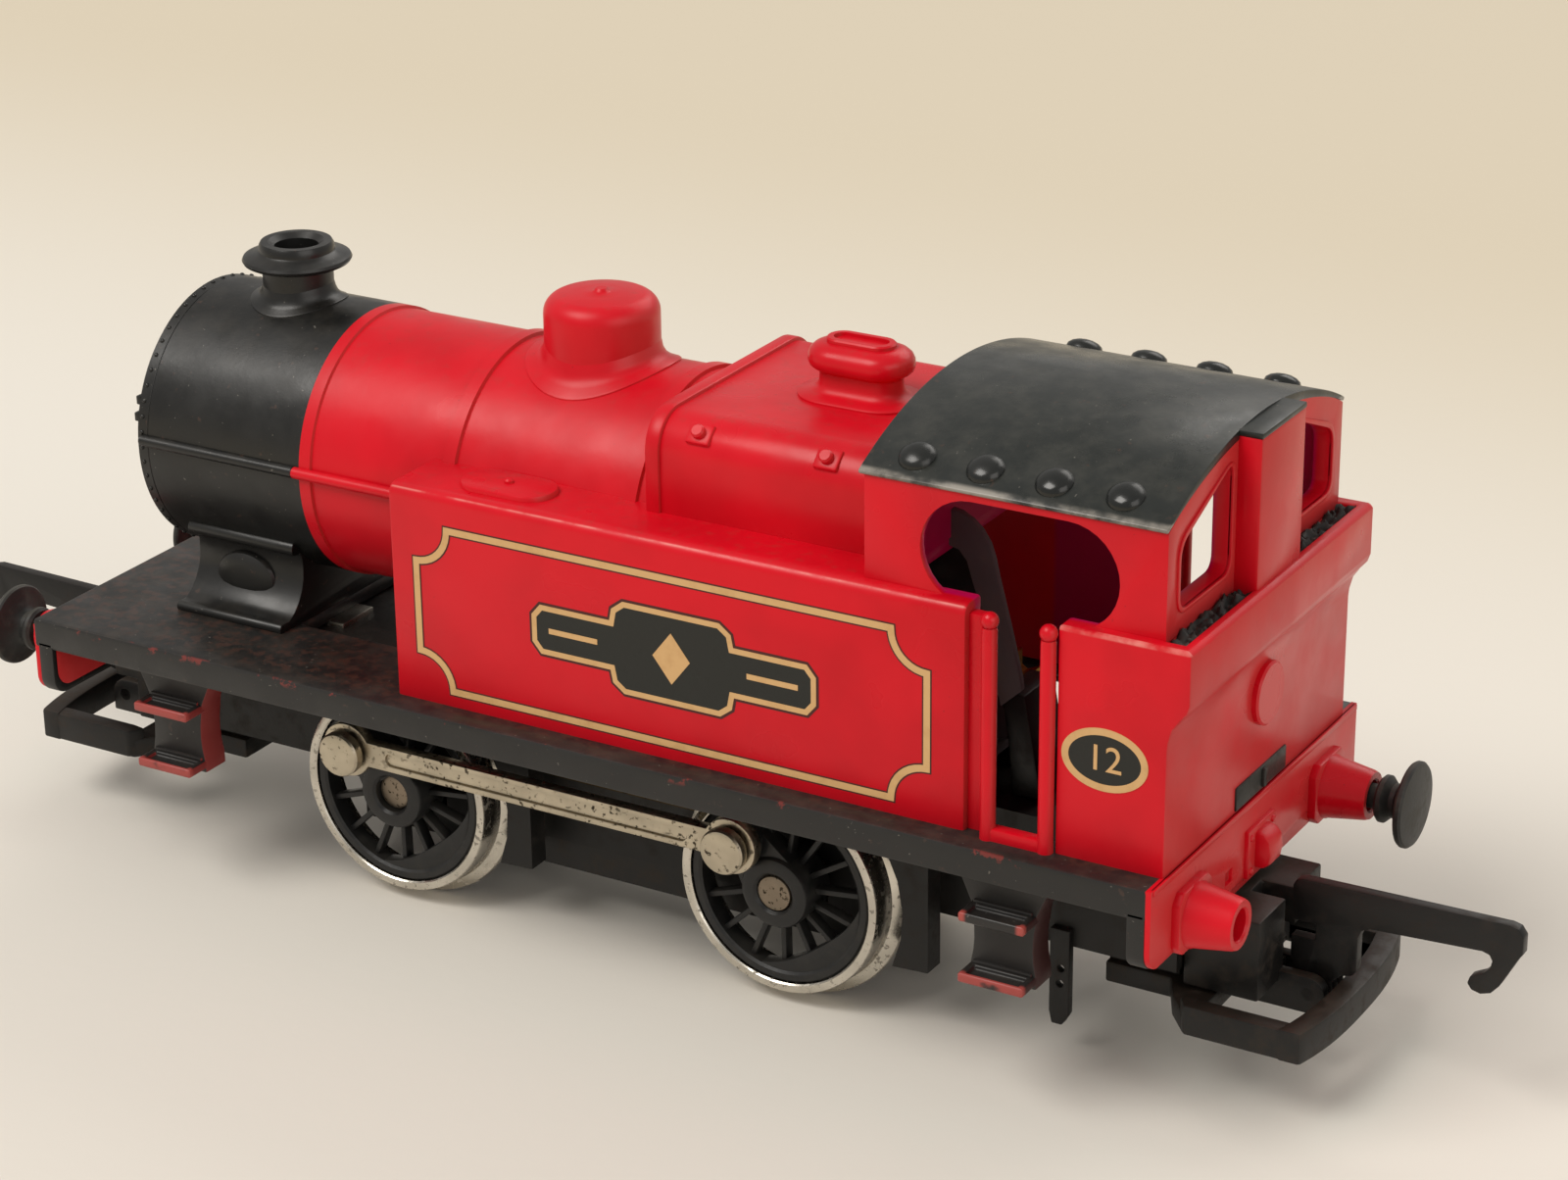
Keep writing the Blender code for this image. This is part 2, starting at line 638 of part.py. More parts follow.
def hollows():
    """The open inside of the moulding, and the openings in its walls."""
    below = BEAM_BOTTOM - BEAM_ROUND
    inner = TANK_HALF - WALL
    ceiling = TANK_TOP - WALL
    under_x = BEAM_X - BEAM_THICK
    under_y = STEP_INNER - FIT / 2
    cuts = [block("under plate", (-under_x, under_x), (-under_y, under_y), (below - PLATE_TOP, PLATE_UNDER))]
    room_x = (TANK_FRONT + WALL, CAB_REAR - CAB_WALL)
    cuts.append(block("tank room", room_x, (-inner, inner), (below, ceiling)))
    bore = BOILER_R - BOILER_WALL
    start, end_x = TANK_FRONT - BOILER_ROOM, CAB_FRONT + 2 * CAB_WALL
    cuts.append(rod("boiler room", bore, "x", (0, 0, BOILER_Z), start, end_x, 20))
    box_half = FIREBOX_HALF - BOILER_WALL
    box = rounded_top(box_half, ceiling - WALL, FIREBOX_TOP - BOILER_WALL, FIREBOX_ROUND - BOILER_WALL / 2)
    cuts.append(prism("firebox room", box, "x", FIREBOX_FRONT + BOILER_WALL, end_x))
    cab_half = CAB_HALF - CAB_INSET - CAB_WALL
    room = roof_arc(cab_half, EAVES_Z - SINK, ROOF_TOP - ROOF_THICK)
    room = room + [(-cab_half, below - FIT), (cab_half, below - FIT)]
    cuts.append(prism("cab room", room, "x", CAB_FRONT + CAB_INSET + CAB_WALL, CAB_REAR - CAB_WALL - FIT))
    half = OVAL_LENGTH / 2
    low = TANK_TOP + SEAT
    radius = (OVAL_TOP - low) / 2
    middle = OVAL_TOP - radius
    oval = arc(OVAL_X + half - radius, middle, radius, -90, 90, 7)
    oval += arc(OVAL_X - half + radius, middle, radius, 90, 270, 7)
    cuts.append(prism("side opening", oval, "y", -HALF_WIDTH, HALF_WIDTH))
    door_z = (PLATE_TOP + SILL, low + radius / 2)
    cuts.append(block("doorway", (TANK_REAR, DOOR_REAR), (-HALF_WIDTH, HALF_WIDTH), door_z))
    for side in (-1, 1):
        low, slope = EAVES_Z - WINDOW_TALL, WINDOW_SLOPE
        window = [(WINDOW_IN + slope / 4, low), (WINDOW_OUT, low),
                  (WINDOW_OUT - slope / 4, EAVES_Z - slope / 4), (WINDOW_IN, EAVES_Z + slope * 3 / 4)]
        outline = [(side * y, z) for y, z in window]
        glass = prism("window", outline, "x", CAB_REAR - 2 * CAB_WALL, CAB_REAR + COLUMN_DEPTH)
        bevel = glass.modifiers.new("round", "BEVEL")
        bevel.width = WINDOW_ROUND * MM
        bevel.segments = 2
        bevel.limit_method = "ANGLE"
        settle(glass)
        cuts.append(glass)
    low, high = CHIMNEY_TOP - CHIMNEY_BORE, CHIMNEY_TOP + CAP_TALL
    cuts.append(rod("chimney bore", CHIMNEY_BORE_R, "z", (CHIMNEY_X, 0, 0), low, high, 13))
    low, high = below, PLATE_TOP + BODY_SCREW_BITE + SINK
    cuts.append(rod("screw bore", SCREW_R + FIT, "z", (SADDLE_X, 0, 0), low, high, 12))
    for end in (-1, 1):
        for side in (-1, 1):
            low, high = sorted((end * (BEAM_X + FIT), end * (BEAM_X + 2 * BUFFER_HOUSING)))
            cuts.append(rod("bore", BUFFER_BORE_R, "x", (0, side * BUFFER_Y, BUFFER_Z), low, high, 12))
    return cuts


shell, plate_parts = footplate()
join(shell, *plate_parts)
join(shell, *superstructure())
join(shell, *boiler())
join(shell, *mountings())
join(shell, *saddle(), *buffers())
cut(shell, *hollows())
finish(shell, "body_shell", RED, 0.38, 0.0)


# Buffer heads, one left out of the near rear housing


def buffer_head(name, end, side):
    start = BEAM_X + SINK
    tip = BEAM_X + BUFFER_REACH
    shank = BUFFER_BORE_R - SEAT
    stop = BEAM_X + BUFFER_HOUSING + SEAT
    neck = shank + SINK
    profile = [(0, start), (shank, start), (shank, stop), (neck, stop), (neck, tip - HEAD_DEEP),
               (BUFFER_HEAD_R, tip - HEAD_DEEP / 2), (BUFFER_HEAD_R, tip - HEAD_ROUND),
               (BUFFER_HEAD_R - HEAD_ROUND * 3, tip), (0, tip)]
    profile = [(r, end * x) for r, x in profile]
    head = turned(name, profile, "x", (0, side * BUFFER_Y, BUFFER_Z), 12)
    finish(head, name, BLACK, 0.5, 0.0)


buffer_head("buffer_head_rear_right", 1, 1)
buffer_head("buffer_head_front_left", -1, -1)
buffer_head("buffer_head_front_right", -1, 1)


# Chassis block, keeper plate and their screws


KEEPER_SCREWS = (("keeper_screw_front", FRONT_AXLE_X + KEEPER_FRONT_SCREW),
                 ("keeper_screw_rear", REAR_AXLE_X - KEEPER_REAR_SCREW))


def chassis():
    front, rear = FRONT_AXLE_X - HORN_LENGTH, REAR_AXLE_X + HORN_LENGTH
    ramp = CHASSIS_END_BOTTOM - HORN_BOTTOM
    deck_low, deck_high = MOTOR_X - DECK_HALF, MOTOR_X + DECK_HALF
    side = [(-CHASSIS_REACH, CHASSIS_END_BOTTOM), (front - ramp, CHASSIS_END_BOTTOM), (front, HORN_BOTTOM),
            (rear, HORN_BOTTOM), (rear + ramp, CHASSIS_END_BOTTOM), (CHASSIS_REACH, CHASSIS_END_BOTTOM),
            (CHASSIS_REACH, CHASSIS_TOP), (deck_high, CHASSIS_TOP), (deck_high, MOTOR_DECK),
            (deck_low, MOTOR_DECK), (deck_low, CHASSIS_TOP), (-CHASSIS_REACH, CHASSIS_TOP)]
    made = prism("chassis", side, "y", -CHASSIS_HALF, CHASSIS_HALF)
    parts = []
    foot = BEARING_R + SINK
    bearing = [(MOTOR_X - foot, MOTOR_DECK - SINK), (MOTOR_X + foot, MOTOR_DECK - SINK)]
    bearing += arc(MOTOR_X, MOTOR_Z, BEARING_R, 0, 180, 8)
    parts.append(prism("bearing", bearing, "y", YOKE_FAR + SEAT, GEAR_INNER - FREE))
    for x in (REAR_AXLE_X, FRONT_AXLE_X):
        clear = FLANGE_R + BRAKE_GAP
        hanger = x + clear + BRAKE_THICK
        top = AXLE_Z + BRAKE_TALL
        shoe = arc(x, AXLE_Z, clear, -24, 30, 4)
        shoe += [(hanger, top), (hanger + BRAKE_THICK, top), (hanger + BRAKE_THICK, AXLE_Z - BRAKE_TALL / 2)]
        for y in (-1, 1):
            low, high = sorted((y * (TYRE_INNER + SINK), y * (WHEEL_FACE - SINK)))
            parts.append(prism("brake shoe", shoe, "y", low, high))
            low, high = sorted((y * (CHASSIS_HALF - SINK), y * (TYRE_INNER + 2 * SINK)))
            spar = (hanger - FIT, hanger + BRAKE_THICK + FIT)
            parts.append(block("brake spar", spar, (low, high), (top - 2 * BRAKE_THICK, top - FIT)))
    join(made, *parts)
    cuts = []
    room = AXLE_R + TURN
    for x in (REAR_AXLE_X, FRONT_AXLE_X):
        low = HORN_BOTTOM - SINK
        slot = [(x - room, low), (x + room, low)] + arc(x, AXLE_Z, room, 0, 180, 8)
        cuts.append(prism("axle slot", slot, "y", -CHASSIS_HALF - SINK, CHASSIS_HALF + SINK))
    gear_x = (REAR_AXLE_X - AXLE_GEAR_ROOM, IDLER_X + MODULE * IDLER_TEETH / 2 + ADDENDUM + FREE)
    gear_y = (GEAR_INNER - FREE, GEAR_OUTER + FREE)
    cuts.append(block("gear room", gear_x, gear_y, (HORN_BOTTOM - SINK, MOTOR_Z + BEARING_R)))
    cuts.append(rod("shaft bore", SHAFT_R + TURN, "y", (MOTOR_X, 0, MOTOR_Z), YOKE_FAR, GEAR_INNER, 12))
    low, high = -IDLER_PIN_IN - SEAT, GEAR_INNER
    cuts.append(rod("pin bore", IDLER_PIN_R + FIT, "y", (IDLER_X, 0, IDLER_Z), low, high, 12))
    seat = (SADDLE_X, 0, 0)
    low, high = CHASSIS_END_BOTTOM - SINK, CHASSIS_END_BOTTOM + BODY_SCREW_SINK
    cuts.append(rod("body screw bore", SCREW_R + HOLE, "z", seat, low, CHASSIS_TOP + SINK, 12))
    cuts.append(rod("head bore", SCREW_HEAD_R + HOLE, "z", seat, low, high, 14))
    low, high = HORN_BOTTOM - SINK, KEEPER_SEAT + SCREW_GRIP + SINK
    for name, x in KEEPER_SCREWS:
        cuts.append(rod("bore", SCREW_R + FIT, "z", (x, 0, 0), low, high, 12))
    low, high = CHASSIS_END_BOTTOM - SINK, CHASSIS_END_BOTTOM + SCREW_GRIP
    for end in (-1, 1):
        cuts.append(rod("bore", SCREW_R + FIT, "z", (end * COUPLING_SCREW_X, 0, 0), low, high, 12))
    cut(made, *cuts)
    finish(made, "chassis_block", BLACK, 0.55, 0.0)


def screw(name, x, seat, grip):
    """A round-headed screw whose head lies under a seat and whose shank runs up."""
    top = seat - SEAT
    low, tip = top - SCREW_HEAD, seat + grip
    shank = SCREW_R - FIT / 3
    profile = [(0, low), (SCREW_HEAD_R * 0.6, low), (SCREW_HEAD_R, top - SCREW_HEAD / 2),
               (SCREW_HEAD_R, top), (shank, top), (shank, tip), (0, tip)]
    made = turned(name, profile, "z", (x, 0, 0), 10)
    reach, half = SCREW_HEAD_R + SINK, SCREW_SLOT / 2
    cut(made, block("slot", (x - reach, x + reach), (-half, half), (low - SINK, low + SCREW_HEAD / 3)))
    finish(made, name, STEEL, 0.35, 1.0)


def keeper():
    rear, front = REAR_AXLE_X + KEEPER_REACH, FRONT_AXLE_X - KEEPER_REACH
    notch = REAR_AXLE_X - AXLE_GEAR_ROOM
    half = CHASSIS_HALF - KEEPER_INSET
    side = GEAR_INNER - FREE
    plan = [(front, -half), (rear, -half), (rear, side), (notch, side), (notch, half), (front, half)]
    made = prism("keeper", plan, "z", KEEPER_BOTTOM, KEEPER_TOP)
    cuts = []
    for name, x in KEEPER_SCREWS:
        low, high = KEEPER_BOTTOM - SINK, KEEPER_TOP + SINK
        cuts.append(rod("bore", SCREW_R + HOLE, "z", (x, 0, 0), low, high, 12))
        cuts.append(rod("head bore", SCREW_HEAD_R + HOLE, "z", (x, 0, 0), low, KEEPER_SEAT, 14))
    cut(made, *cuts)
    finish(made, "keeper_plate", BLACK, 0.5, 0.0)


chassis()
keeper()
for screw_name, screw_x in KEEPER_SCREWS:
    screw(screw_name, screw_x, KEEPER_SEAT, SCREW_GRIP)
body_seat = CHASSIS_END_BOTTOM + BODY_SCREW_SINK
screw("body_screw", SADDLE_X, body_seat, PLATE_TOP + BODY_SCREW_BITE - body_seat)

ballast_front = TANK_FRONT + WALL + BALLAST_GAP
ballast_low = CHASSIS_TOP + SEAT
ballast_x = (ballast_front, ballast_front + BALLAST_LENGTH)
ballast_z = (ballast_low, ballast_low + BALLAST_TALL)
ballast = block("ballast_weight", ballast_x, (-BALLAST_HALF, BALLAST_HALF), ballast_z, SEAT)
finish(ballast, "ballast_weight", LEAD, 0.6, 1.0)

for side_name, y_sign in (("left", -1), ("right", 1)):
    y_low, y_high = sorted((y_sign * (CHASSIS_HALF + SEAT), y_sign * (CHASSIS_HALF + SEAT + PICKUP_THICK)))
    strip_x = (FRONT_AXLE_X + PICKUP_END, REAR_AXLE_X - PICKUP_END)
    strip_z = (AXLE_Z + PICKUP_RISE, AXLE_Z + PICKUP_RISE + PICKUP_TALL)
    wiper = block("wiper", strip_x, (y_low, y_high), strip_z)
    finish(wiper, "pickup_" + side_name, BRASS, 0.35, 1.0)


# Wheels: spoked centres, flanged tyres, axles and crankpins


def wheel_centre(name, x, side, crank):
    """A moulded centre with open spokes, a crescent weight and a crank boss."""
    outer = TYRE_BORE_R - FIT
    radii = [AXLE_R + HOLE, HUB_R - HOLE, outer - RIM - WEIGHT, outer - RIM, outer]
    count = SPOKES * 2
    face_in = WHEEL_FACE - CENTRE_INSET - CENTRE_THICK
    bm = bmesh.new()
    rings = []
    for radius in radii:
        ring = []
        for k in range(SPOKES):
            middle = crank + 2 * math.pi * k / SPOKES
            turn = math.asin(SPOKE_WIDTH / 2 / radius)
            if radius == radii[0] or radius == radii[-1]:
                turn = math.pi / count
            for angle in (middle - turn, middle + turn):
                along, up = radius * math.cos(angle), radius * math.sin(angle)
                ring.append(bm.verts.new(place("y", x + along, AXLE_Z + up, side * face_in)))
        rings.append(ring)
    weight = range(SPOKES // 2 - 2, SPOKES // 2 + 2)
    for band, (lower, upper) in enumerate(zip(rings, rings[1:])):
        for i in range(count):
            spoke = i % 2 == 0
            filled = band == 2 and (i - 1) // 2 in weight
            if band in (0, 3) or spoke or filled:
                other = (i + 1) % count
                bm.faces.new((lower[i], lower[other], upper[other], upper[i]))
    grown = bmesh.ops.extrude_face_region(bm, geom=list(bm.faces))
    moved = [item for item in grown["geom"] if isinstance(item, bmesh.types.BMVert)]
    bmesh.ops.translate(bm, verts=moved, vec=place("y", 0, 0, side * CENTRE_THICK))
    made = to_object(name, bm)
    hub_low, hub_high = sorted((side * (TYRE_INNER + HOLE), side * (WHEEL_FACE + HUB_PROUD)))
    boss_low, boss_high = sorted((side * face_in, side * (WHEEL_FACE + HUB_PROUD)))
    px, pz = x + THROW * math.cos(crank), AXLE_Z + THROW * math.sin(crank)
    hub = rod("hub", HUB_R, "y", (x, 0, AXLE_Z), hub_low, hub_high, SPOKES)
    boss = rod("boss", BOSS_R, "y", (px, 0, pz), boss_low, boss_high, 12)
    join(made, hub, boss)
    axle_bore = rod("bore", AXLE_R + FIT, "y", (x, 0, AXLE_Z), hub_low - SINK, hub_high + SINK, 14)
    pin_bore = rod("bore", PIN_FOOT_R + FIT, "y", (px, 0, pz), boss_low - SINK, boss_high + SINK, 10)
    cut(made, axle_bore, pin_bore)
    finish(made, name, BLACK, 0.45, 0.0, (x, 0, AXLE_Z))


def tyre(name, x, side):
    inner, outer = TYRE_INNER, WHEEL_FACE
    root = inner + FLANGE_WIDTH
    profile = [(TYRE_BORE_R, inner), (FLANGE_R - FREE, inner), (FLANGE_R, inner + FREE),
               (FLANGE_R - HOLE, root - HOLE), (TREAD_R, root), (TREAD_R, outer), (TYRE_BORE_R, outer)]
    profile = [(r, side * y) for r, y in profile]
    made = turned(name, profile, "y", (x, 0, AXLE_Z), 30, ring=True)
    finish(made, name, NICKEL, 0.3, 1.0, (x, 0, AXLE_Z))


def crankpin(name, x, side, crank):
    px, pz = x + THROW * math.cos(crank), AXLE_Z + THROW * math.sin(crank)
    start = WHEEL_FACE - PIN_FOOT
    shoulder = WHEEL_FACE + HUB_PROUD + FIT
    head = ROD_INNER + ROD_THICK + TURN
    end = head + PIN_HEAD
    profile = [(0, start), (PIN_FOOT_R, start), (PIN_FOOT_R, shoulder), (PIN_R, shoulder), (PIN_R, head),
               (PIN_HEAD_R, head), (PIN_HEAD_R, end - FREE), (PIN_HEAD_R - FREE, end), (0, end)]
    profile = [(r, side * y) for r, y in profile]
    made = turned(name, profile, "y", (px, 0, pz), 10)
    finish(made, name, NICKEL, 0.28, 1.0, (px, 0, pz))


def axle(name, x):
    reach = WHEEL_FACE + AXLE_PROUD
    half = [(0, reach), (AXLE_R - HOLE, reach), (AXLE_R, reach - HOLE)]
    profile = [(r, -y) for r, y in half] + half[::-1]
    made = turned(name, profile, "y", (x, 0, AXLE_Z), 14)
    finish(made, name, STEEL, 0.3, 1.0, (x, 0, AXLE_Z))


SIDES = (("left", -1, LEFT_ANGLE), ("right", 1, RIGHT_ANGLE))
for end_name, axle_x in (("rear", REAR_AXLE_X), ("front", FRONT_AXLE_X)):
    axle("axle_" + end_name, axle_x)
    for side_name, y_sign, crank_angle in SIDES:
        tail = end_name + "_" + side_name
        wheel_centre("wheel_centre_" + tail, axle_x, y_sign, crank_angle)
        tyre("tyre_" + tail, axle_x, y_sign)
        crankpin("crankpin_" + tail, axle_x, y_sign, crank_angle)


# Coupling rods: fluted bars with a round eye at each end


def coupling_rod(name, side, crank):
    px, pz = REAR_AXLE_X + THROW * math.cos(crank), AXLE_Z + THROW * math.sin(crank)
    rise = math.degrees(math.asin(ROD_DEPTH / 2 / ROD_EYE_R))
    outline = arc(px, pz, ROD_EYE_R, 180 - rise, -180 + rise, 10)
    outline = outline + arc(px - WHEELBASE, pz, ROD_EYE_R, -rise, -360 + rise, 10)
    low, high = sorted((side * ROD_INNER, side * (ROD_INNER + ROD_THICK)))
    made = prism(name, outline, "y", low, high)
    cuts = []
    for x in (px, px - WHEELBASE):
        cuts.append(rod("eye", PIN_R + TURN, "y", (x, 0, pz), low - SINK, high + SINK, 12))
    face, groove = ROD_INNER + ROD_THICK, FLUTE_WIDTH / 2
    outside = sorted((side * (face - FLUTE_DEEP), side * (face + SINK)))
    flute_x = (px - WHEELBASE + FLUTE_END, px - FLUTE_END)
    cuts.append(block("flute", flute_x, outside, (pz - groove, pz + groove)))
    cut(made, *cuts)
    finish(made, name, NICKEL, 0.32, 1.0, (px, 0, pz))


coupling_rod("rod_left", -1, LEFT_ANGLE)
coupling_rod("rod_right", 1, RIGHT_ANGLE)


# Motor and gears


def gear(name, x, z, teeth, bore, phase, colour):
    pitch_r = MODULE * teeth / 2
    outline = []
    for k in range(teeth):
        middle = phase + 2 * math.pi * k / teeth
        flank = [(pitch_r - DEDENDUM, TOOTH_ROOT), (pitch_r + ADDENDUM, TOOTH_TIP)]
        outline += [(radius, middle - half / radius) for radius, half in flank]
        outline += [(radius, middle + half / radius) for radius, half in flank[::-1]]
    outline = [(x + r * math.cos(t), z + r * math.sin(t)) for r, t in outline]
    made = prism(name, outline, "y", GEAR_INNER, GEAR_OUTER)
    cut(made, rod("bore", bore, "y", (x, 0, z), GEAR_INNER - SINK, GEAR_OUTER + SINK, 12))
    finish(made, name, colour, 0.35, 1.0, (x, 0, z))


to_idler = math.atan2(IDLER_Z - AXLE_Z, IDLER_X - REAR_AXLE_X)
to_pinion = math.atan2(MOTOR_Z - IDLER_Z, MOTOR_X - IDLER_X)
idler_phase = to_idler + math.pi + math.pi / IDLER_TEETH
lag = idler_phase - to_pinion
pinion_phase = to_pinion + math.pi - lag * IDLER_TEETH / PINION_TEETH + math.pi / PINION_TEETH
gear("axle_gear", REAR_AXLE_X, AXLE_Z, AXLE_TEETH, AXLE_R + FIT, to_idler, BRASS)
gear("idler_gear", IDLER_X, IDLER_Z, IDLER_TEETH, IDLER_PIN_R + TURN, idler_phase, BRASS)
gear("motor_pinion", MOTOR_X, MOTOR_Z, PINION_TEETH, SHAFT_R + FIT, pinion_phase, BRASS)

shaft_end = GEAR_OUTER + SHAFT_END
pin = rod("idler_pin", IDLER_PIN_R, "y", (IDLER_X, 0, IDLER_Z), -IDLER_PIN_IN, shaft_end, 12)
finish(pin, "idler_pin", STEEL, 0.3, 1.0)

motor_axis = (MOTOR_X, 0, MOTOR_Z)
shaft_start = YOKE_NEAR - SEAT - BRACKET_THICK - SHAFT_END
shaft = rod("motor_shaft", SHAFT_R, "y", motor_axis, shaft_start, shaft_end, 12)
finish(shaft, "motor_shaft", STEEL, 0.3, 1.0, motor_axis)


def sleeve(name, radius, low, high, steps):
    """A drum on the motor shaft."""
    profile = [(SHAFT_R + FIT, low), (radius, low), (radius, high), (SHAFT_R + FIT, high)]
    return turned(name, profile, "y", motor_axis, steps, ring=True)


drum_end = YOKE_NEAR + COMMUTATOR_WIDTH
core = sleeve("armature", ARMATURE_R, drum_end + SEAT, YOKE_FAR - HOLE, 15)
slots = []
for k in range(3):
    turn_to = math.radians(90 + 120 * k)
    slot_x, slot_z = MOTOR_X + ARMATURE_R * math.cos(turn_to), MOTOR_Z + ARMATURE_R * math.sin(turn_to)
    slots.append(rod("slot", CORE_SLOT_R, "y", (slot_x, 0, slot_z), YOKE_NEAR, YOKE_FAR + SINK, 10))
cut(core, *slots)
finish(core, "armature_core", IRON, 0.5, 1.0, motor_axis)

drum = sleeve("commutator", COMMUTATOR_R, YOKE_NEAR + SEAT, drum_end, 14)
finish(drum, "commutator", BRASS, 0.35, 1.0, motor_axis)


def yoke():
    """An arched strap magnet whose legs spread round the armature."""
    foot = MOTOR_DECK + SEAT
    top_z = YOKE_TOP - YOKE_TOP_R
    leg = YOKE_TOP_R + YOKE_SPLAY * (top_z - foot)
    pole = ARMATURE_R + SINK
    inner_top = YOKE_TOP - YOKE_BAND - YOKE_SLOT_R
    knee_drop = (inner_top - MOTOR_Z) * 0.45
    knee = YOKE_SLOT_R + YOKE_SPLAY * 1.15 * knee_drop
    right = [(leg, foot), (pole + FREE, foot), (pole, MOTOR_Z), (knee, inner_top - knee_drop)]
    outline = arc(0, top_z, YOKE_TOP_R, 180, 0, 10) + right
    outline += arc(0, inner_top, YOKE_SLOT_R, 0, 180, 6) + mirrored(right)
    made = prism("yoke", [(MOTOR_X + a, z) for a, z in outline], "y", YOKE_NEAR, YOKE_FAR)
    finish(made, "motor_yoke", IRON, 0.7, 0.4)


def brush_bracket():
    foot = MOTOR_DECK + SEAT
    half = BRACKET_R + SINK
    outline = [(MOTOR_X - half, foot), (MOTOR_X + half, foot)] + arc(MOTOR_X, MOTOR_Z, BRACKET_R, 0, 180, 10)
    near, far = YOKE_NEAR - SEAT - BRACKET_THICK, YOKE_NEAR - SEAT
    made = prism("bracket", outline, "y", near, far)
    cut(made, rod("bore", SHAFT_R + TURN, "y", motor_axis, near - SINK, far + SINK, 12))
    finish(made, "brush_bracket", BLACK, 0.4, 0.0)


yoke()
brush_bracket()


# Couplings: a moulded loop, a lifting hook and its pin at each end


def coupling(tail, end):
    pivot_x = BEAM_X + HOOK_PIVOT_OUT
    pad_top = CHASSIS_END_BOTTOM - SEAT
    nose = pivot_x + HOOK_WIDE
    slot = HOOK_THICK / 2 + HOOK_ROOM
    bar_in = nose + HOOK_ROOM
    inner = LOOP_HALF - LOOP_RAIL

    def flip(points):
        return [(end * x, y) for x, y in points]

    def span(low, high):
        return tuple(sorted((end * low, end * high)))

    low = LOOP_BAR_Z + LOOP_LIFT
    pad_in, pad_out = COUPLING_SCREW_X - PAD_REACH, COUPLING_SCREW_X + PAD_REACH - SINK
    frame = [(pad_in, -LOOP_NECK), (pad_out - SINK, -LOOP_NECK), (pad_out + LOOP_RAIL, -LOOP_HALF),
             (bar_in, -LOOP_HALF)]
    frame += [(x, -y) for x, y in reversed(frame)]
    made = prism("frame", flip(frame), "z", low, low + LOOP_PLATE)
    parts = [block("pad", span(pad_in, pad_out), (-PAD_HALF, PAD_HALF), (low, pad_top))]
    bow = [(bar_in - LOOP_SWEEP, -LOOP_HALF), (bar_in, -LOOP_HALF / 2), (bar_in, LOOP_HALF / 2),
           (bar_in - LOOP_SWEEP, LOOP_HALF)]
    front = [(x + LOOP_BAR_THICK, y) for x, y in reversed(bow)]
    parts.append(prism("bar", flip(bow + front), "z", LOOP_BAR_Z, LOOP_BAR_Z + LOOP_BAR_TALL))
    join(made, *parts)
    head_top = HOOK_PIVOT_Z + HOOK_WIDE - FIT
    window = span(pad_out + 2 * LOOP_RAIL + HOLE, bar_in)
    cut(made, block("window", window, (-inner, inner), (LOOP_BAR_Z - SINK, head_top + SINK)))
    join(made, block("arm", span(pad_out - SINK, nose - SEAT), (-LUG_HALF, LUG_HALF), (low, head_top)))
    slot_x = span(pivot_x - 2 * HOOK_WIDE + FIT, nose)
    cuts = [block("hook slot", slot_x, (-slot, slot), (low - SINK, head_top + SINK))]
    axis, seat = (end * pivot_x, 0, HOOK_PIVOT_Z), (end * COUPLING_SCREW_X, 0, 0)
    cuts.append(rod("pin bore", HOOK_PIN_R + FIT, "y", axis, -LUG_HALF - SINK, LUG_HALF + SINK, 12))
    cuts.append(rod("screw bore", SCREW_R + HOLE, "z", seat, low - SINK, pad_top + SINK, 12))
    cuts.append(rod("head bore", SCREW_HEAD_R + HOLE, "z", seat, low - SINK, low + HEAD_SINK, 14))
    cut(made, *cuts)
    finish(made, "coupling_loop_" + tail, BLACK, 0.55, 0.0)

    drop_x = pivot_x + HOOK_REACH - HOOK_LEAN
    under = HOOK_TOP - HOOK_ARM
    tip_z = HOOK_TOP - HOOK_DROP
    reach = pivot_x + HOOK_REACH
    heel = pivot_x - HOOK_WIDE
    plate = [(heel, HOOK_PIVOT_Z), (heel, HOOK_TOP - 2 * SINK), (pivot_x, HOOK_TOP),
             (reach - SINK, HOOK_TOP + HOLE), (reach, HOOK_TOP - FREE), (drop_x - HOLE, tip_z),
             (drop_x - HOOK_POINT, tip_z + SINK), (drop_x - HOOK_POINT + HOLE, under - SINK),
             (drop_x - HOOK_POINT - TURN, under), (nose + SINK, under), (nose, under - SINK)]
    plate += arc(pivot_x, HOOK_PIVOT_Z, HOOK_WIDE, 0, -180, 10)[:-1]
    hook = prism("hook", flip(plate), "y", -HOOK_THICK / 2, HOOK_THICK / 2)
    cut(hook, rod("pin bore", HOOK_PIN_R + TURN, "y", axis, -HOOK_THICK, HOOK_THICK, 12))
    finish(hook, "hook_" + tail, BLACK, 0.5, 0.0, axis)

    link = rod("pin", HOOK_PIN_R, "y", axis, -LUG_HALF, LUG_HALF, 12)
    finish(link, "hook_pin_" + tail, STEEL, 0.35, 1.0)
    screw("coupling_screw_" + tail, end * COUPLING_SCREW_X, low + HEAD_SINK, SCREW_GRIP + HEAD_SINK)


coupling("rear", 1)
coupling("front", -1)
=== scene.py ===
# %% [markdown]
# # A small tank engine
# The engine is a moulded body on a cast chassis, so most of it is two kinds of shape: outlines that
# were pushed along a line, and profiles that were turned on a lathe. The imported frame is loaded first,
# because every piece rides on one of its bodies and has to stay inside its box.

import json
import math

import bmesh
import bpy
from mathutils import Matrix, Vector, noise


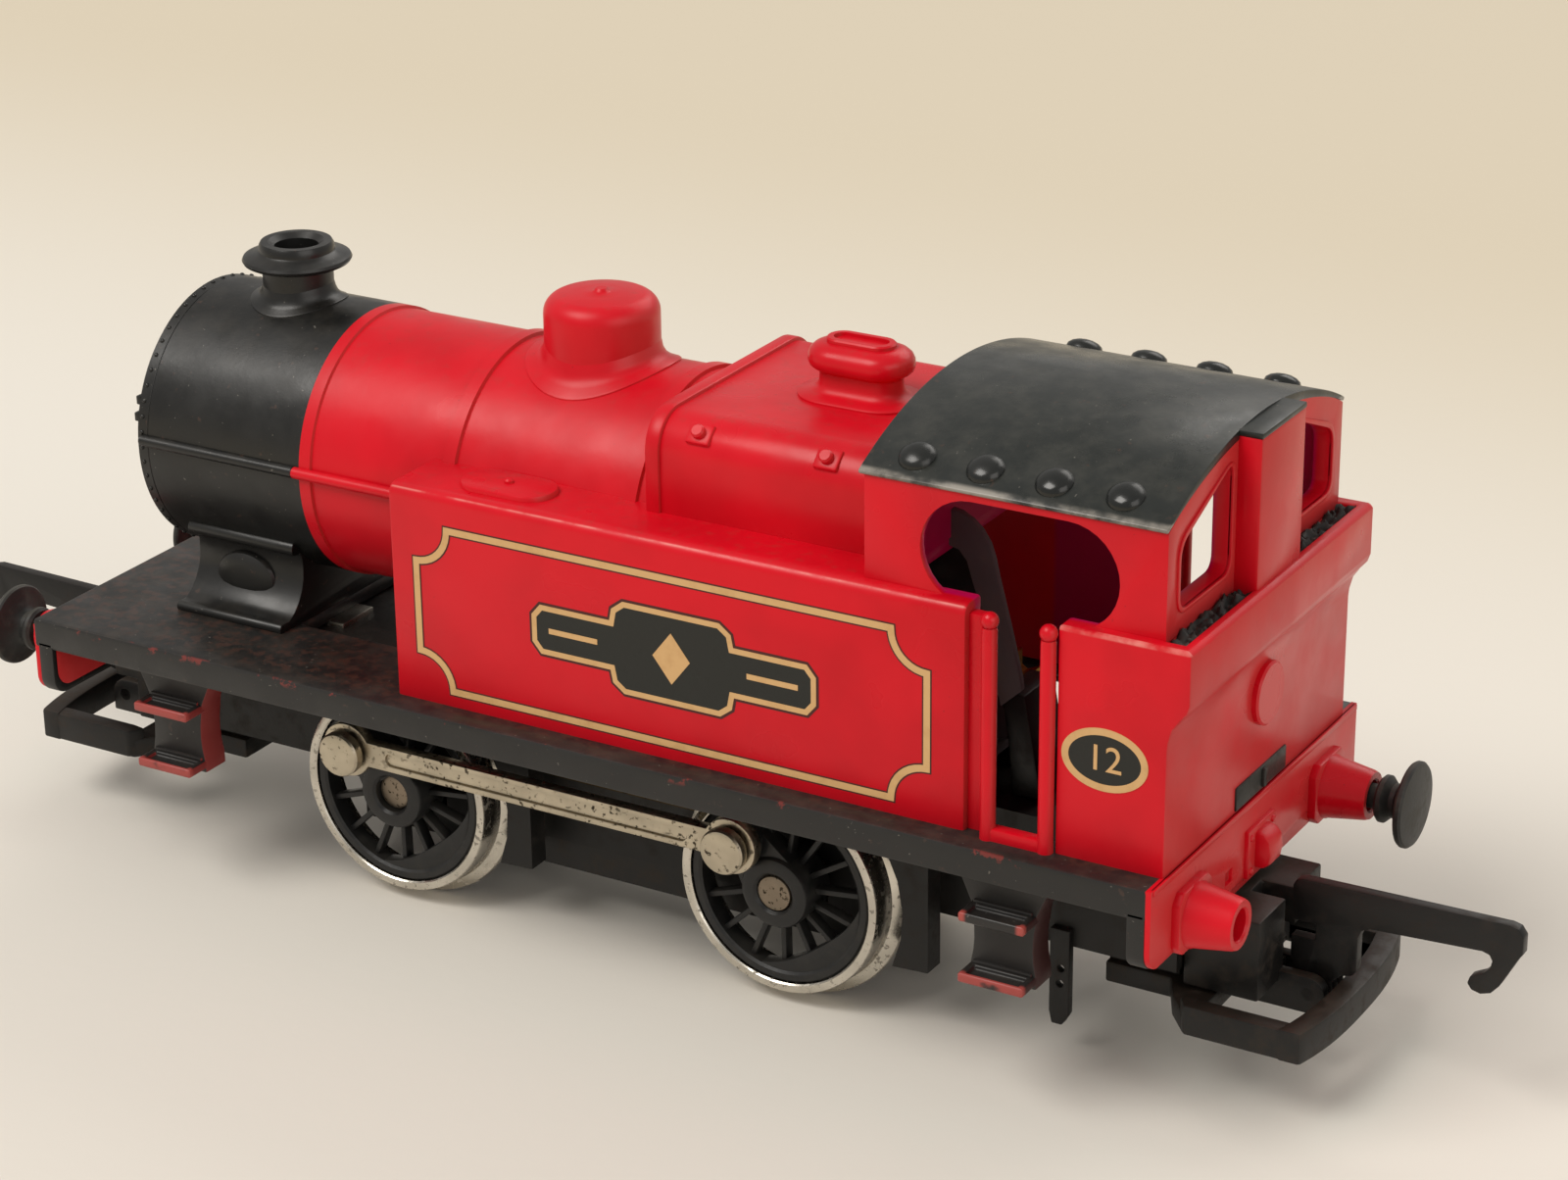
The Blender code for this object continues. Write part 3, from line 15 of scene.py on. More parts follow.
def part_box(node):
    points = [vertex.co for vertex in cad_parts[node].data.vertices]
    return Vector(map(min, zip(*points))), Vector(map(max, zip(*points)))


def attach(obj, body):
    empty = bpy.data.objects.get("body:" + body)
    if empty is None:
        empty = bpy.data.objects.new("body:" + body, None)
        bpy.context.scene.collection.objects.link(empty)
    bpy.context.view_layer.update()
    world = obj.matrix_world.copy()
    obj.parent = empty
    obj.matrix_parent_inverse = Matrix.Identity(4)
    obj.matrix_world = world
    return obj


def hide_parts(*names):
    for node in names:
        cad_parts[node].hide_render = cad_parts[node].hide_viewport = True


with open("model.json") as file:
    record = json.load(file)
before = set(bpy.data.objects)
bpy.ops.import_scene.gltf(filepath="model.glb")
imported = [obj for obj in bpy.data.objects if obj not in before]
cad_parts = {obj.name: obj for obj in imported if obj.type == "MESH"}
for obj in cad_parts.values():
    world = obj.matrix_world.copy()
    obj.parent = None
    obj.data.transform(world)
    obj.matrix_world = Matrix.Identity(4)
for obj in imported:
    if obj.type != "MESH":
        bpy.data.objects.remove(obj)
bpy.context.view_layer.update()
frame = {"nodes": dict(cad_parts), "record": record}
MM = 0.001


def new_object(name, data):
    """A new object of the scene that shows this data."""
    made = bpy.data.objects.new(name, data)
    bpy.context.scene.collection.objects.link(made)
    return made


# %% [markdown]
# ## Camera
# The camera stands behind and to the left of the engine and looks down on it. The angles and the place
# were worked out from straight edges in the picture, with one known width as the scale. A slight roll
# is part of it, because the picture was taken by hand.

# %% Camera
CAMERA_PLACE = Vector((140.235, -221.012, 134.430)) * MM
CAMERA_AZIMUTH = math.radians(30.646)
CAMERA_ELEVATION = math.radians(22.646)
CAMERA_ROLL = math.radians(-0.67)
CAMERA_LENS, CAMERA_SENSOR, CAMERA_CLIP = 89.72, 36.0, 0.01

camera_data = bpy.data.cameras.new("camera")
camera_data.sensor_width = CAMERA_SENSOR
camera_data.lens = CAMERA_LENS
camera_data.clip_start = CAMERA_CLIP
camera = new_object("camera", camera_data)
turn = Matrix.Rotation(CAMERA_AZIMUTH, 4, "Z")
turn = turn @ Matrix.Rotation(math.pi / 2 - CAMERA_ELEVATION, 4, "X")
turn = turn @ Matrix.Rotation(CAMERA_ROLL, 4, "Z")
camera.matrix_world = Matrix.Translation(CAMERA_PLACE) @ turn
bpy.context.scene.camera = camera
print("camera lens", CAMERA_LENS, "mm")

# %% [markdown]
# ## Nodes and colours
# Every finish is a tree of shader nodes. One function adds a node, sets its values and makes its links.
# Colours are written as the hex values an eye would pick, and turned to linear light for the renderer.

# %% Nodes and colours


def add(tree, kind, inputs=None, **settings):
    made = tree.nodes.new(kind)
    for key, value in settings.items():
        setattr(made, key, value)
    for key, value in (inputs or {}).items():
        if isinstance(value, bpy.types.NodeSocket):
            tree.links.new(value, made.inputs[key])
        else:
            made.inputs[key].default_value = value
    return made


def linear(code):
    """Turn an sRGB hex colour into linear RGBA."""
    parts = [int(code[i:i + 2], 16) / 255 for i in (1, 3, 5)]
    return tuple(c / 12.92 if c <= 0.04045 else ((c + 0.055) / 1.055) ** 2.4 for c in parts) + (1.0,)


def pattern_scale(size_mm):
    """Noise scale whose features are about this many millimetres across, on coordinates in metres."""
    return 1000.0 / size_mm


print("pure red is", linear("#FF0000")[:3])

# %% [markdown]
# ## Masks and layers
# Dirt and wear lie in layers, as on the real thing. A mask says where a layer is: in blotches of a real
# size, on faces that look one way, or at a place on the body. A layer then puts one colour over the ones
# below where all of its masks agree. A small class keeps the tree and the colour so far.

# %% Masks and layers


class Finish:
    """A material that is painted in layers, on the piece's own coordinates."""

    def __init__(self, name, colour, constants):
        self.material = bpy.data.materials.new(name)
        self.material.use_nodes = True
        self.tree = self.material.node_tree
        self.shader = self.tree.nodes["Principled BSDF"]
        for key, value in constants.items():
            self.shader.inputs[key].default_value = value
        self.place = add(self.tree, "ShaderNodeTexCoord").outputs["Object"]
        self.tone = linear(colour)

    def blotches(self, size_mm, low, high, detail=3.0, rough=0.55):
        """A mask of blotches of a real size."""
        cloud = add(self.tree, "ShaderNodeTexNoise", {"Vector": self.place, "Scale": pattern_scale(size_mm),
                                                      "Detail": detail, "Roughness": rough})
        ramp = add(self.tree, "ShaderNodeMapRange", {"Value": cloud.outputs["Fac"], "From Min": low,
                                                     "From Max": high}, interpolation_type="SMOOTHSTEP")
        return ramp.outputs["Result"]

    def facing(self, axis, start, end):
        """A mask of the faces that look along an axis."""
        normal = add(self.tree, "ShaderNodeNewGeometry").outputs["Normal"]
        part = add(self.tree, "ShaderNodeSeparateXYZ", {"Vector": normal}).outputs[axis]
        ramp = add(self.tree, "ShaderNodeMapRange", {"Value": part, "From Min": start, "From Max": end},
                   interpolation_type="SMOOTHSTEP")
        return ramp.outputs["Result"]

    def placed(self, axis, start, end, centre=0.0):
        """A mask that grows from start to end, in mm from a centre, the same on both sides of the engine."""
        value = add(self.tree, "ShaderNodeSeparateXYZ", {"Vector": self.place}).outputs[axis]
        for shift in (0.0, centre) if centre else (0.0,):
            value = add(self.tree, "ShaderNodeMath", {0: value, 1: shift * MM}, operation="SUBTRACT")
            value = add(self.tree, "ShaderNodeMath", {0: value.outputs[0]}, operation="ABSOLUTE").outputs[0]
        ramp = add(self.tree, "ShaderNodeMapRange", {"Value": value, "From Min": start * MM,
                                                     "From Max": end * MM}, interpolation_type="SMOOTHSTEP")
        return ramp.outputs["Result"]

    def lay(self, colour, strength, *masks):
        """Lay a colour over the ones below where all the masks agree."""
        cover = strength
        for mask in masks:
            cover = add(self.tree, "ShaderNodeMath", {0: mask, 1: cover}, operation="MULTIPLY").outputs[0]
        above = linear(colour) if isinstance(colour, str) else colour
        mixed = add(self.tree, "ShaderNodeMix", {0: cover, 6: self.tone, 7: above}, data_type="RGBA")
        self.tone = mixed.outputs[2]

    def gloss(self, mask, low, high):
        """Roughness that runs from low to high with a mask."""
        ramp = add(self.tree, "ShaderNodeMapRange", {"Value": mask, "To Min": low, "To Max": high})
        self.tree.links.new(ramp.outputs["Result"], self.shader.inputs["Roughness"])

    def done(self, grain_mm, height_mm):
        """Join the colour, and a bump with grains of a real size and height."""
        cloud = add(self.tree, "ShaderNodeTexNoise", {"Vector": self.place, "Scale": pattern_scale(grain_mm),
                                                      "Detail": 3.0})
        bump = add(self.tree, "ShaderNodeBump", {"Height": cloud.outputs["Fac"], "Distance": height_mm * MM,
                                                 "Strength": 1.0})
        self.tree.links.new(bump.outputs["Normal"], self.shader.inputs["Normal"])
        self.tree.links.new(self.tone, self.shader.inputs["Base Color"])
        return self.material


print("masks and layers ready")

# %% [markdown]
# ## Red moulding
# The body is red polystyrene, injection moulded with a satin surface. The colour is slightly deeper in
# blotches of about a centimetre, and a little dust lies on the faces that look up. The faces that look back,
# such as the back of the bunker, get a pale painted sheen. In the cab the top edge of the side walls has a
# pale painted highlight, partly rubbed paint, and the inside is a purple maroon that is painted shade.

# %% Red moulding
RED_HEX, RED_DEEP_HEX, RED_DUST_HEX, RED_SHEEN_HEX = "#CF0A1E", "#BC0618", "#A5352F", "#AA4E46"
RED_INSIDE_SHADE_HEX = "#B8064E"


def red_finish(name, roughness, edge_highlight_and_inside_shade=False):
    paint = Finish(name, RED_HEX, {"Roughness": roughness, "IOR": 1.55, "Specular IOR Level": 0.24})
    # Satin plastic: an even colour with a soft wide highlight
    paint.lay(RED_DEEP_HEX, 0.8, paint.blotches(9.0, 0.35, 0.7))
    # Painted sheen: the faces that look back are paler in blotches, for the glare of light on the back of
    # the bunker
    paint.lay(RED_SHEEN_HEX, 0.34, paint.facing("X", 0.55, 0.95), paint.blotches(5.0, 0.1, 0.5))
    paint.lay(RED_DUST_HEX, 0.32, paint.facing("Z", 0.6, 1.0), paint.blotches(0.9, 0.5, 0.75, 5.0))
    # Specks of dirt, drawn about 0.4 mm across so that they show
    paint.lay("#6E1418", 0.35, paint.blotches(0.4, 0.73, 0.79, 2.0))
    if edge_highlight_and_inside_shade:
        # A pale line along the top edge of the side walls: a painted highlight on the rounded edge, partly
        # rubbed paint
        paint.lay("#E58C84", 0.75, paint.placed("Y", 14.5, 14.62), paint.placed("Z", 35.75, 35.9),
                  paint.blotches(3.0, 0.38, 0.62, 5.0))
        # Painted shade: the inside of the cab is a purple maroon that stands in for the shade there
        paint.lay(RED_INSIDE_SHADE_HEX, 0.92, paint.placed("Y", 13.75, 13.3), paint.placed("X", 24.0, 24.5),
                  paint.placed("X", 44.6, 44.2))
    paint.gloss(paint.blotches(6.0, 0.3, 0.7), roughness - 0.05, roughness + 0.1)
    # Faint orange peel of the mould, drawn coarse enough to show
    return paint.done(0.7, 0.007)


red_plastic = red_finish("red_polystyrene_moulding", 0.31)
red_cab = red_finish("red_polystyrene_grimy_inside", 0.32, True)
print("made", red_plastic.name, "and", red_cab.name)

# %% [markdown]
# ## Black paint over red
# The smokebox, footplate, steps and roof are the same moulding, sprayed with satin black paint. Brown
# dust settles where the plate is flat, pale lint sticks here and there, and where fingers rub an edge the
# red shows through. The wear is painted by place: a mask near the edge, broken up by noise.

# %% Black paint over red
STEP_X = 34.8


def black_finish(name, colour, roughness, dust, dust_hex="#4A453E", wear=None):
    paint = Finish(name, colour, {"Roughness": roughness, "IOR": 1.5})
    # Satin paint: dark, with a film of dust on the faces that look up
    paint.lay(dust_hex, dust, paint.facing("Z", 0.3, 1.0), paint.blotches(2.2, 0.35, 0.75, 6.0, 0.65))
    # Lint and grit, drawn about a third of a millimetre across so that it shows
    paint.lay("#77736B", 0.55, paint.blotches(0.33, 0.735, 0.775, 1.5))
    paint.lay("#4A342A", 0.45, paint.blotches(0.8, 0.66, 0.74, 3.0))
    if wear:
        wear(paint)
    paint.gloss(paint.blotches(3.5, 0.3, 0.7, 5.0), roughness - 0.07, roughness + 0.1)
    return paint.done(0.4, 0.006)


def plate_wear(paint):
    """Scuffs along the top edge of the footplate, and brown dust against the tank side."""
    high = paint.placed("Z", 19.2, 19.7)
    paint.lay("#3F2A22", 0.75, paint.placed("Y", 16.4, 15.0), high, paint.blotches(0.9, 0.48, 0.62, 4.0))
    paint.lay("#7E2A24", 0.7, paint.placed("Y", 16.7, 16.9), high, paint.blotches(2.6, 0.6, 0.64, 6.0, 0.7))


def step_wear(paint):
    """The lower tread is rubbed red along its rim, the upper one only at its corners."""
    rim = paint.placed("Y", 16.3, 16.7)
    paint.lay("#3A1716", 0.8, paint.facing("X", 0.6, 0.9))
    paint.lay("#A8443E", 0.8, rim, paint.placed("Z", 10.9, 10.7), paint.blotches(1.6, 0.3, 0.5))
    paint.lay("#B04A42", 0.8, rim, paint.placed("X", 1.75, 2.1, STEP_X), paint.placed("Z", 14.0, 14.3))


def front_step_wear(paint):
    """Both front treads are rubbed red along the rim, and so is the edge of the bracket."""
    paint.lay("#8A2A28", 0.85, paint.facing("X", 0.6, 0.9))
    paint.lay("#A8443E", 0.8, paint.placed("Y", 16.3, 16.7), paint.blotches(1.6, 0.25, 0.45))


def roof_wear(paint):
    """A pale rubbed line along the eaves."""
    paint.lay("#9A948B", 0.8, paint.placed("Z", 44.0, 43.8), paint.blotches(3.0, 0.35, 0.6, 5.0))


smokebox_black = black_finish("satin_black_paint_on_smokebox", "#111110", 0.36, 0.22)
plate_black = black_finish("satin_black_paint_on_footplate", "#191817", 0.42, 0.4, "#4A3F36", plate_wear)
step_black = black_finish("satin_black_paint_on_steps", "#1D1B1A", 0.45, 0.3, "#43372E", step_wear)
front_step_black = black_finish("satin_black_paint_on_front_steps", "#1D1B1A", 0.45, 0.3, "#43372E",
                                front_step_wear)
roof_black = black_finish("gloss_black_paint_on_roof", "#191D1B", 0.30, 0.26, "#55534C", roof_wear)
rivet_black = black_finish("gloss_black_paint_on_rivets", "#161817", 0.24, 0.05)
print("made six black paints")

# %% [markdown]
# ## Metals and black mouldings
# Tyres, rods and crankpins are nickel plated, with dark specks where the plating has pitted. The wheel
# centres and couplings are black mouldings, one shiny and one dull. The motor parts are iron, brass and
# steel. Each metal keeps the default index of refraction and takes its look from colour and roughness.

# %% Metals and black mouldings
TARNISH = 0.78


def metal_finish(name, colour, roughness, pits, pit_hex="#3E362C", pit_mm=0.45):
    paint = Finish(name, colour, {"Roughness": roughness, "Metallic": 1.0})
    # Plated metal: bright, with tarnish in patches and dark pits about half a millimetre across
    dull = tuple(c * TARNISH for c in linear(colour)[:3]) + (1.0,)
    paint.lay(dull, 1.0, paint.blotches(3.0, 0.3, 0.7))
    spots = paint.blotches(pit_mm, 0.57, 0.66, 3.0)
    paint.lay(pit_hex, pits, spots, paint.blotches(4.5, 0.3, 0.6))
    paint.gloss(spots, roughness, roughness + 0.35)
    return paint.done(0.3, 0.004)


def moulding_finish(name, colour, dust_hex, dust, roughness, grain_mm=0.3):
    paint = Finish(name, colour, {"Roughness": roughness, "IOR": 1.5, "Specular IOR Level": 0.38})
    # Moulded or cast black: dust clings in patches and takes the shine away there
    film = paint.blotches(1.6, 0.45, 0.75, 6.0, 0.65)
    paint.lay(dust_hex, dust, film)
    paint.lay(dust_hex, dust * 0.8, paint.facing("Z", 0.6, 1.0))
    paint.gloss(film, roughness, min(roughness + 0.3, 0.95))
    return paint.done(grain_mm, 0.010)


nickel = metal_finish("nickel_plate_worn", "#C6BBA6", 0.33, 0.95)
bright_nickel = metal_finish("nickel_plate_tyre", "#D8D2C6", 0.24, 0.55)
steel = metal_finish("bright_steel", "#B9B4A8", 0.34, 0.5)
axle_steel = metal_finish("axle_end_steel", "#8F8272", 0.45, 0.95, "#3E352A", 0.35)
brass = metal_finish("turned_brass", "#C9A24E", 0.33, 0.3)
tarnished = metal_finish("tarnished_brass_strip", "#463A26", 0.5, 0.6)
lead = metal_finish("dull_lead", "#84868A", 0.6, 0.3)
magnet = moulding_finish("cast_magnet_iron", "#54474A", "#665650", 0.55, 0.62, 0.5)
wheel_black = moulding_finish("black_wheel_moulding", "#1B1B1B", "#4A463F", 0.25, 0.36)
chassis_black = moulding_finish("black_chassis", "#0F0E0D", "#332C25", 0.4, 0.5)
coupling_black = moulding_finish("black_coupling_moulding", "#121110", "#463A2F", 0.42, 0.48)
hook_black = moulding_finish("blackened_steel_hook", "#0F0E0E", "#332A22", 0.35, 0.42)
buffer_black = moulding_finish("black_buffer_moulding", "#232322", "#56534B", 0.5, 0.48)
coal_black = moulding_finish("moulded_coal_paint", "#1E1D1C", "#46443F", 0.5, 0.55, 0.4)
plate_field = moulding_finish("printed_black_plate", "#1C1D1A", "#2A2A26", 0.5, 0.42)
gold_line = moulding_finish("printed_gold_line", "#CDA470", "#B58A58", 0.5, 0.45)
line_edge = moulding_finish("printed_dark_edge", "#451A16", "#552420", 0.5, 0.45)
print("made", len(bpy.data.materials), "finishes")

# %% [markdown]
# ## Shape helpers
# Pieces are built in millimetres, then scaled to metres at the very end. An outline pushed along an axis
# is a prism, a profile spun round an axis is turned, and openings are cut with a Boolean before the
# edges are rounded. The last helper names the piece, gives it a finish and tells the frame its body.

# %% Outlines and lathe work
MERGE_DISTANCE = 0.00001


def object_from(bm, name="work"):
    mesh = bpy.data.meshes.new(name)
    bm.to_mesh(mesh)
    bm.free()
    return new_object(name, mesh)


def to_temp(bm):
    """Weld a working mesh, turn its faces outwards and make an object of it."""
    bmesh.ops.remove_doubles(bm, verts=bm.verts, dist=MERGE_DISTANCE)
    bmesh.ops.recalc_face_normals(bm, faces=bm.faces)
    if bm.calc_volume(signed=True) < 0:
        bmesh.ops.reverse_faces(bm, faces=bm.faces)
    return object_from(bm)


def spot(axis, a, b, along):
    return Vector({"x": (along, a, b), "y": (a, along, b), "z": (a, b, along)}[axis])


def prism(outline, axis, low, high):
    low, high = sorted((low, high))
    bm = bmesh.new()
    face = bm.faces.new([bm.verts.new(spot(axis, a, b, low)) for a, b in outline])
    grown = bmesh.ops.extrude_face_region(bm, geom=[face])
    moved = [item for item in grown["geom"] if isinstance(item, bmesh.types.BMVert)]
    bmesh.ops.translate(bm, verts=moved, vec=spot(axis, 0, 0, high - low))
    return to_temp(bm)


def block(x, y, z):
    (y0, y1), (z0, z1) = sorted(y), sorted(z)
    return prism([(y0, z0), (y1, z0), (y1, z1), (y0, z1)], "x", *x)


def turned(profile, axis, centre, steps, ring=False, sign=1):
    """Spin radii and places along an axis. A ring has a hole, and a sign of -1 faces the other way."""
    bm = bmesh.new()
    points = [bm.verts.new((radius, 0, sign * along)) for radius, along in profile]
    pairs = list(zip(points, points[1:]))
    if ring:
        pairs.append((points[-1], points[0]))
    edges = [bm.edges.new(pair) for pair in pairs]
    bmesh.ops.spin(bm, geom=points + edges, cent=(0, 0, 0), axis=(0, 0, 1), angle=2 * math.pi,
                   steps=steps, use_merge=True)
    if axis == "x":
        bm.transform(Matrix(((0, 0, 1), (1, 0, 0), (0, 1, 0))).to_4x4())
    if axis == "y":
        bm.transform(Matrix(((0, 1, 0), (0, 0, 1), (1, 0, 0))).to_4x4())
    bm.transform(Matrix.Translation(Vector(centre)))
    return to_temp(bm)


def cylinder(radius, axis, centre, low, high, steps, soft=0.0):
    low, high = sorted((low, high))
    profile = [(0, low), (radius - soft, low), (radius, low + soft), (radius, high - soft),
               (radius - soft, high), (0, high)]
    if not soft:
        profile = [(0, low), (radius, low), (radius, high), (0, high)]
    return turned(profile, axis, centre, steps)


def lofted(rings):
    """Skin a stack of closed loops that have the same number of points."""
    bm = bmesh.new()
    loops = [[bm.verts.new(p) for p in ring] for ring in rings]
    for lower, upper in zip(loops, loops[1:]):
        for i, vert in enumerate(lower):
            j = (i + 1) % len(lower)
            bm.faces.new((vert, lower[j], upper[j], upper[i]))
    bm.faces.new(loops[0])
    bm.faces.new(loops[-1])
    return to_temp(bm)


def polar(ca, cb, radius, turn, squash=1.0):
    return ca + radius * math.cos(turn), cb + radius * squash * math.sin(turn)


def arc(ca, cb, radius, start, end, count, squash=1.0):
    turns = [math.radians(start + (end - start) * i / count) for i in range(count + 1)]
    return [polar(ca, cb, radius, t, squash) for t in turns]


def mirrored(points):
    return [(-a, b) for a, b in reversed(points)]


def flip(points, sign):
    return [(sign * a, b) for a, b in points]


print("outlines and lathe ready")

# %% Cutting, rounding and handing over
SOFT_ANGLE, SHARP_ANGLE = 35, 32


def settle(made):
    graph = bpy.context.evaluated_depsgraph_get()
    mesh = bpy.data.meshes.new_from_object(made.evaluated_get(graph))
    made.modifiers.clear()
    made.data = mesh
    return made


def carve(base, *others):
    for other in others:
        step = base.modifiers.new("cut", "BOOLEAN")
        step.operation = "DIFFERENCE"
        step.solver = "EXACT"
        step.object = other
    settle(base)
    for other in others:
        bpy.data.objects.remove(other, do_unlink=True)
    return base


def soften(made, width, segments=2):
    step = made.modifiers.new("edge", "BEVEL")
    step.width = width
    step.segments = segments
    step.limit_method = "ANGLE"
    step.angle_limit = math.radians(SOFT_ANGLE)
    step.use_clamp_overlap = True
    return settle(made)


def gather(*parts):
    """Put several solids into one object."""
    bm = bmesh.new()
    for part in parts:
        bm.from_mesh(part.data)
        bpy.data.objects.remove(part, do_unlink=True)
    return object_from(bm)


def emit(made, name, finish, body, nodes=(), angle=SHARP_ANGLE):
    """Finish a piece: metres, smooth shading, material, body and the node it stands for."""
    made.data.transform(Matrix.Scale(MM, 4))
    made.name = name
    made.data.name = name
    made.data.materials.clear()
    made.data.materials.append(finish)
    made.data.shade_smooth()
    made.data.set_sharp_from_angle(angle=math.radians(angle))
    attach(made, body)
    if nodes:
        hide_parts(*nodes)
    return made


def body_piece(made, name, finish=red_plastic, angle=SHARP_ANGLE):
    """A piece of the moulded body, red unless another paint is named."""
    return emit(made, name, finish, "engine", ("body_shell",), angle)


print("cutting and rounding ready")

# %% [markdown]
# ## Sizes of the body
# These are the main sizes of the body in millimetres. X runs along the engine with the bunker end
# positive, Y is across, and Z is up from the bottom of the wheel flanges.

# %% Sizes of the body
body_low, body_high = (Vector(corner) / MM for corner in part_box("body_shell"))
HALF_WIDTH = body_high.y
BEAM_X = 46.4
PLATE_TOP, PLATE_EDGE = 19.9, 2.3
BEAM_BOTTOM = 13.8
TANK_FRONT, TANK_REAR, TANK_TOP, TANK_HALF = -14.2, 31.7, 36.1, 14.85
DOOR_REAR, BUNKER_REAR, LIP_REAR = 38.4, 46.25, 47.75
CAB_FRONT, CAB_REAR, CAB_HALF = 23.3, 45.5, 14.1
EAVES_Z, ROOF_TOP = 43.7, 47.2
BOILER_Z, BOILER_R, SMOKEBOX_R = 32.54, 10.0, 10.2
SMOKEBOX_FRONT, SMOKEBOX_REAR = -40.8, -25.5
FIREBOX_FRONT, FIREBOX_TOP, FIREBOX_HALF = 4.6, 43.0, 10.4
SIDES = (-1, 1)
print("body is", round((body_high - body_low).x, 1), "mm over the housings")

# %% [markdown]
# ## Tanks and bunker
# Each side of the engine is one flat wall: the tank, the doorway and the bunker. The tank is an outline
# with rounded top corners pushed along X, and the inside is cut away because it can be seen through the
# doorway. The bunker is pushed across instead, so that its flared lip is part of the outline.

# %% Tanks
WALL, TANK_ROOF, CUT_LOW = 1.8, 1.4, 10
inner_half = TANK_HALF - WALL


def rounded_top(half, low, top, corner, count):
    right = arc(half - corner, top - corner, corner, 0, 90, count)
    return [(-half, low), (half, low)] + right + mirrored(right)


tank = prism(rounded_top(TANK_HALF, PLATE_TOP - 0.3, TANK_TOP, 0.8, 4), "x", TANK_FRONT, TANK_REAR)
carve(tank, block((TANK_FRONT + WALL, TANK_REAR + 2), (-inner_half, inner_half),
                  (CUT_LOW, TANK_TOP - TANK_ROOF)))
doorway = rounded_top(CAB_HALF - 1.6, 20, TANK_TOP + 4, 0.5, 2)
carve(tank, prism(doorway, "x", CAB_FRONT + 1.5, TANK_REAR + 2))
body_piece(soften(tank, 0.28), "side_tanks", red_cab)
print("tank wall is", WALL, "mm thick")

# %% Bunker and doorway
SILL_X, SILL_HALF, SILL_TOP = (33.5, 37.9), 0.5, PLATE_TOP + 0.9
JAMB_X, JAMB_Y, JAMB_TOP = (TANK_REAR - 0.3, 33.3), (13.3, 14.3), 35.4
COAL_FLOOR, COAL_BACK, COAL_HALF = 35.1, 46.85, 13.7
low = PLATE_TOP - 0.3
flare = [(DOOR_REAR, low), (BUNKER_REAR, low), (BUNKER_REAR, 28.9), (46.3, 29.5), (46.55, 30.45),
         (47.05, 31.2), (47.55, 31.8), (LIP_REAR, 32.4), (LIP_REAR, 35.75), (47.6, 36.0),
         (47.35, TANK_TOP), (DOOR_REAR, TANK_TOP)]
bunker = prism(flare, "y", -TANK_HALF, TANK_HALF)
carve(bunker, block((DOOR_REAR - 2, CAB_REAR - 1.3), (-inner_half, inner_half), (CUT_LOW, TANK_TOP + 3)))
carve(bunker, block((CAB_REAR, COAL_BACK), (-COAL_HALF, COAL_HALF), (COAL_FLOOR, TANK_TOP + 3)))
body_piece(soften(bunker, 0.22), "bunker", red_cab)

jambs = []
for s in SIDES:
    jambs.append(block(SILL_X, (s * TANK_HALF - SILL_HALF, s * TANK_HALF + SILL_HALF), (low, SILL_TOP)))
    jambs.append(block(JAMB_X, [s * y for y in JAMB_Y], (low, JAMB_TOP)))
body_piece(soften(gather(*jambs), 0.2), "doorway_jambs")
print("bunker lip reaches", LIP_REAR, "mm")

# %% [markdown]
# ## Cab
# The cab is a box with an arched top, cut with an oval in each side and two windows in the back. The
# windows are four-sided with round corners and have a thin raised bead. A square column joins the back
# of the cab to the bunker.

# %% Cab walls
CAB_WALL, CAB_SIDE = 1.3, 0.6
WINDOW = ((4.4, 37.5), (12.1, 37.5), (12.1, 42.0), (4.4, 45.2))
WINDOW_GROW, WINDOW_CORNER, CORNER_STEPS = ((-1, -1), (1, -1), (1, 1), (-1, 1)), 1.1, 6
cab_wall_half, cab_wall_front = CAB_HALF - 0.25, CAB_FRONT + 0.35


def arch_radius(half, rise):
    return (half ** 2 + rise ** 2) / (2 * rise)


def roof_arc(half, eaves, top, count=40):
    radius = arch_radius(half, top - eaves)
    reach = math.degrees(math.asin(half / radius))
    return arc(0, top - radius, radius, 90 - reach, 90 + reach, count)


def window_outline(side, grow=0.0):
    """A four-sided window with round corners, grown for its bead."""
    corners = [Vector(here) + grow * Vector(way) for here, way in zip(WINDOW, WINDOW_GROW)]
    radius = WINDOW_CORNER + grow
    outline = []
    for i, here in enumerate(corners):
        start = here + (corners[i - 1] - here).normalized() * radius
        end = here + (corners[(i + 1) % 4] - here).normalized() * radius
        for k in range(CORNER_STEPS + 1):
            t = k / CORNER_STEPS
            point = start * (1 - t) ** 2 + here * 2 * t * (1 - t) + end * t ** 2
            outline.append((side * point.x, point.y))
    return outline


cab = prism([(-cab_wall_half, TANK_TOP - 0.3), (cab_wall_half, TANK_TOP - 0.3)]
            + roof_arc(cab_wall_half, EAVES_Z - 0.3, ROOF_TOP - 0.35), "x", cab_wall_front, CAB_REAR)
room_half = cab_wall_half - CAB_SIDE
room = [(-room_half, CUT_LOW), (room_half, CUT_LOW)] + roof_arc(room_half, EAVES_Z - 0.8, ROOF_TOP - 1.4, 20)
carve(cab, prism(room, "x", cab_wall_front + CAB_WALL, CAB_REAR - CAB_WALL))
OVAL_MIDDLE, OVAL_HALF, OVAL_TOP = 35.0, 7.2, 42.9
oval_low = TANK_TOP - 0.6
oval_r = (OVAL_TOP - oval_low) / 2
oval = arc(OVAL_MIDDLE + OVAL_HALF - oval_r, OVAL_TOP - oval_r, oval_r, -90, 90, 16)
oval += arc(OVAL_MIDDLE - OVAL_HALF + oval_r, OVAL_TOP - oval_r, oval_r, 90, 270, 16)
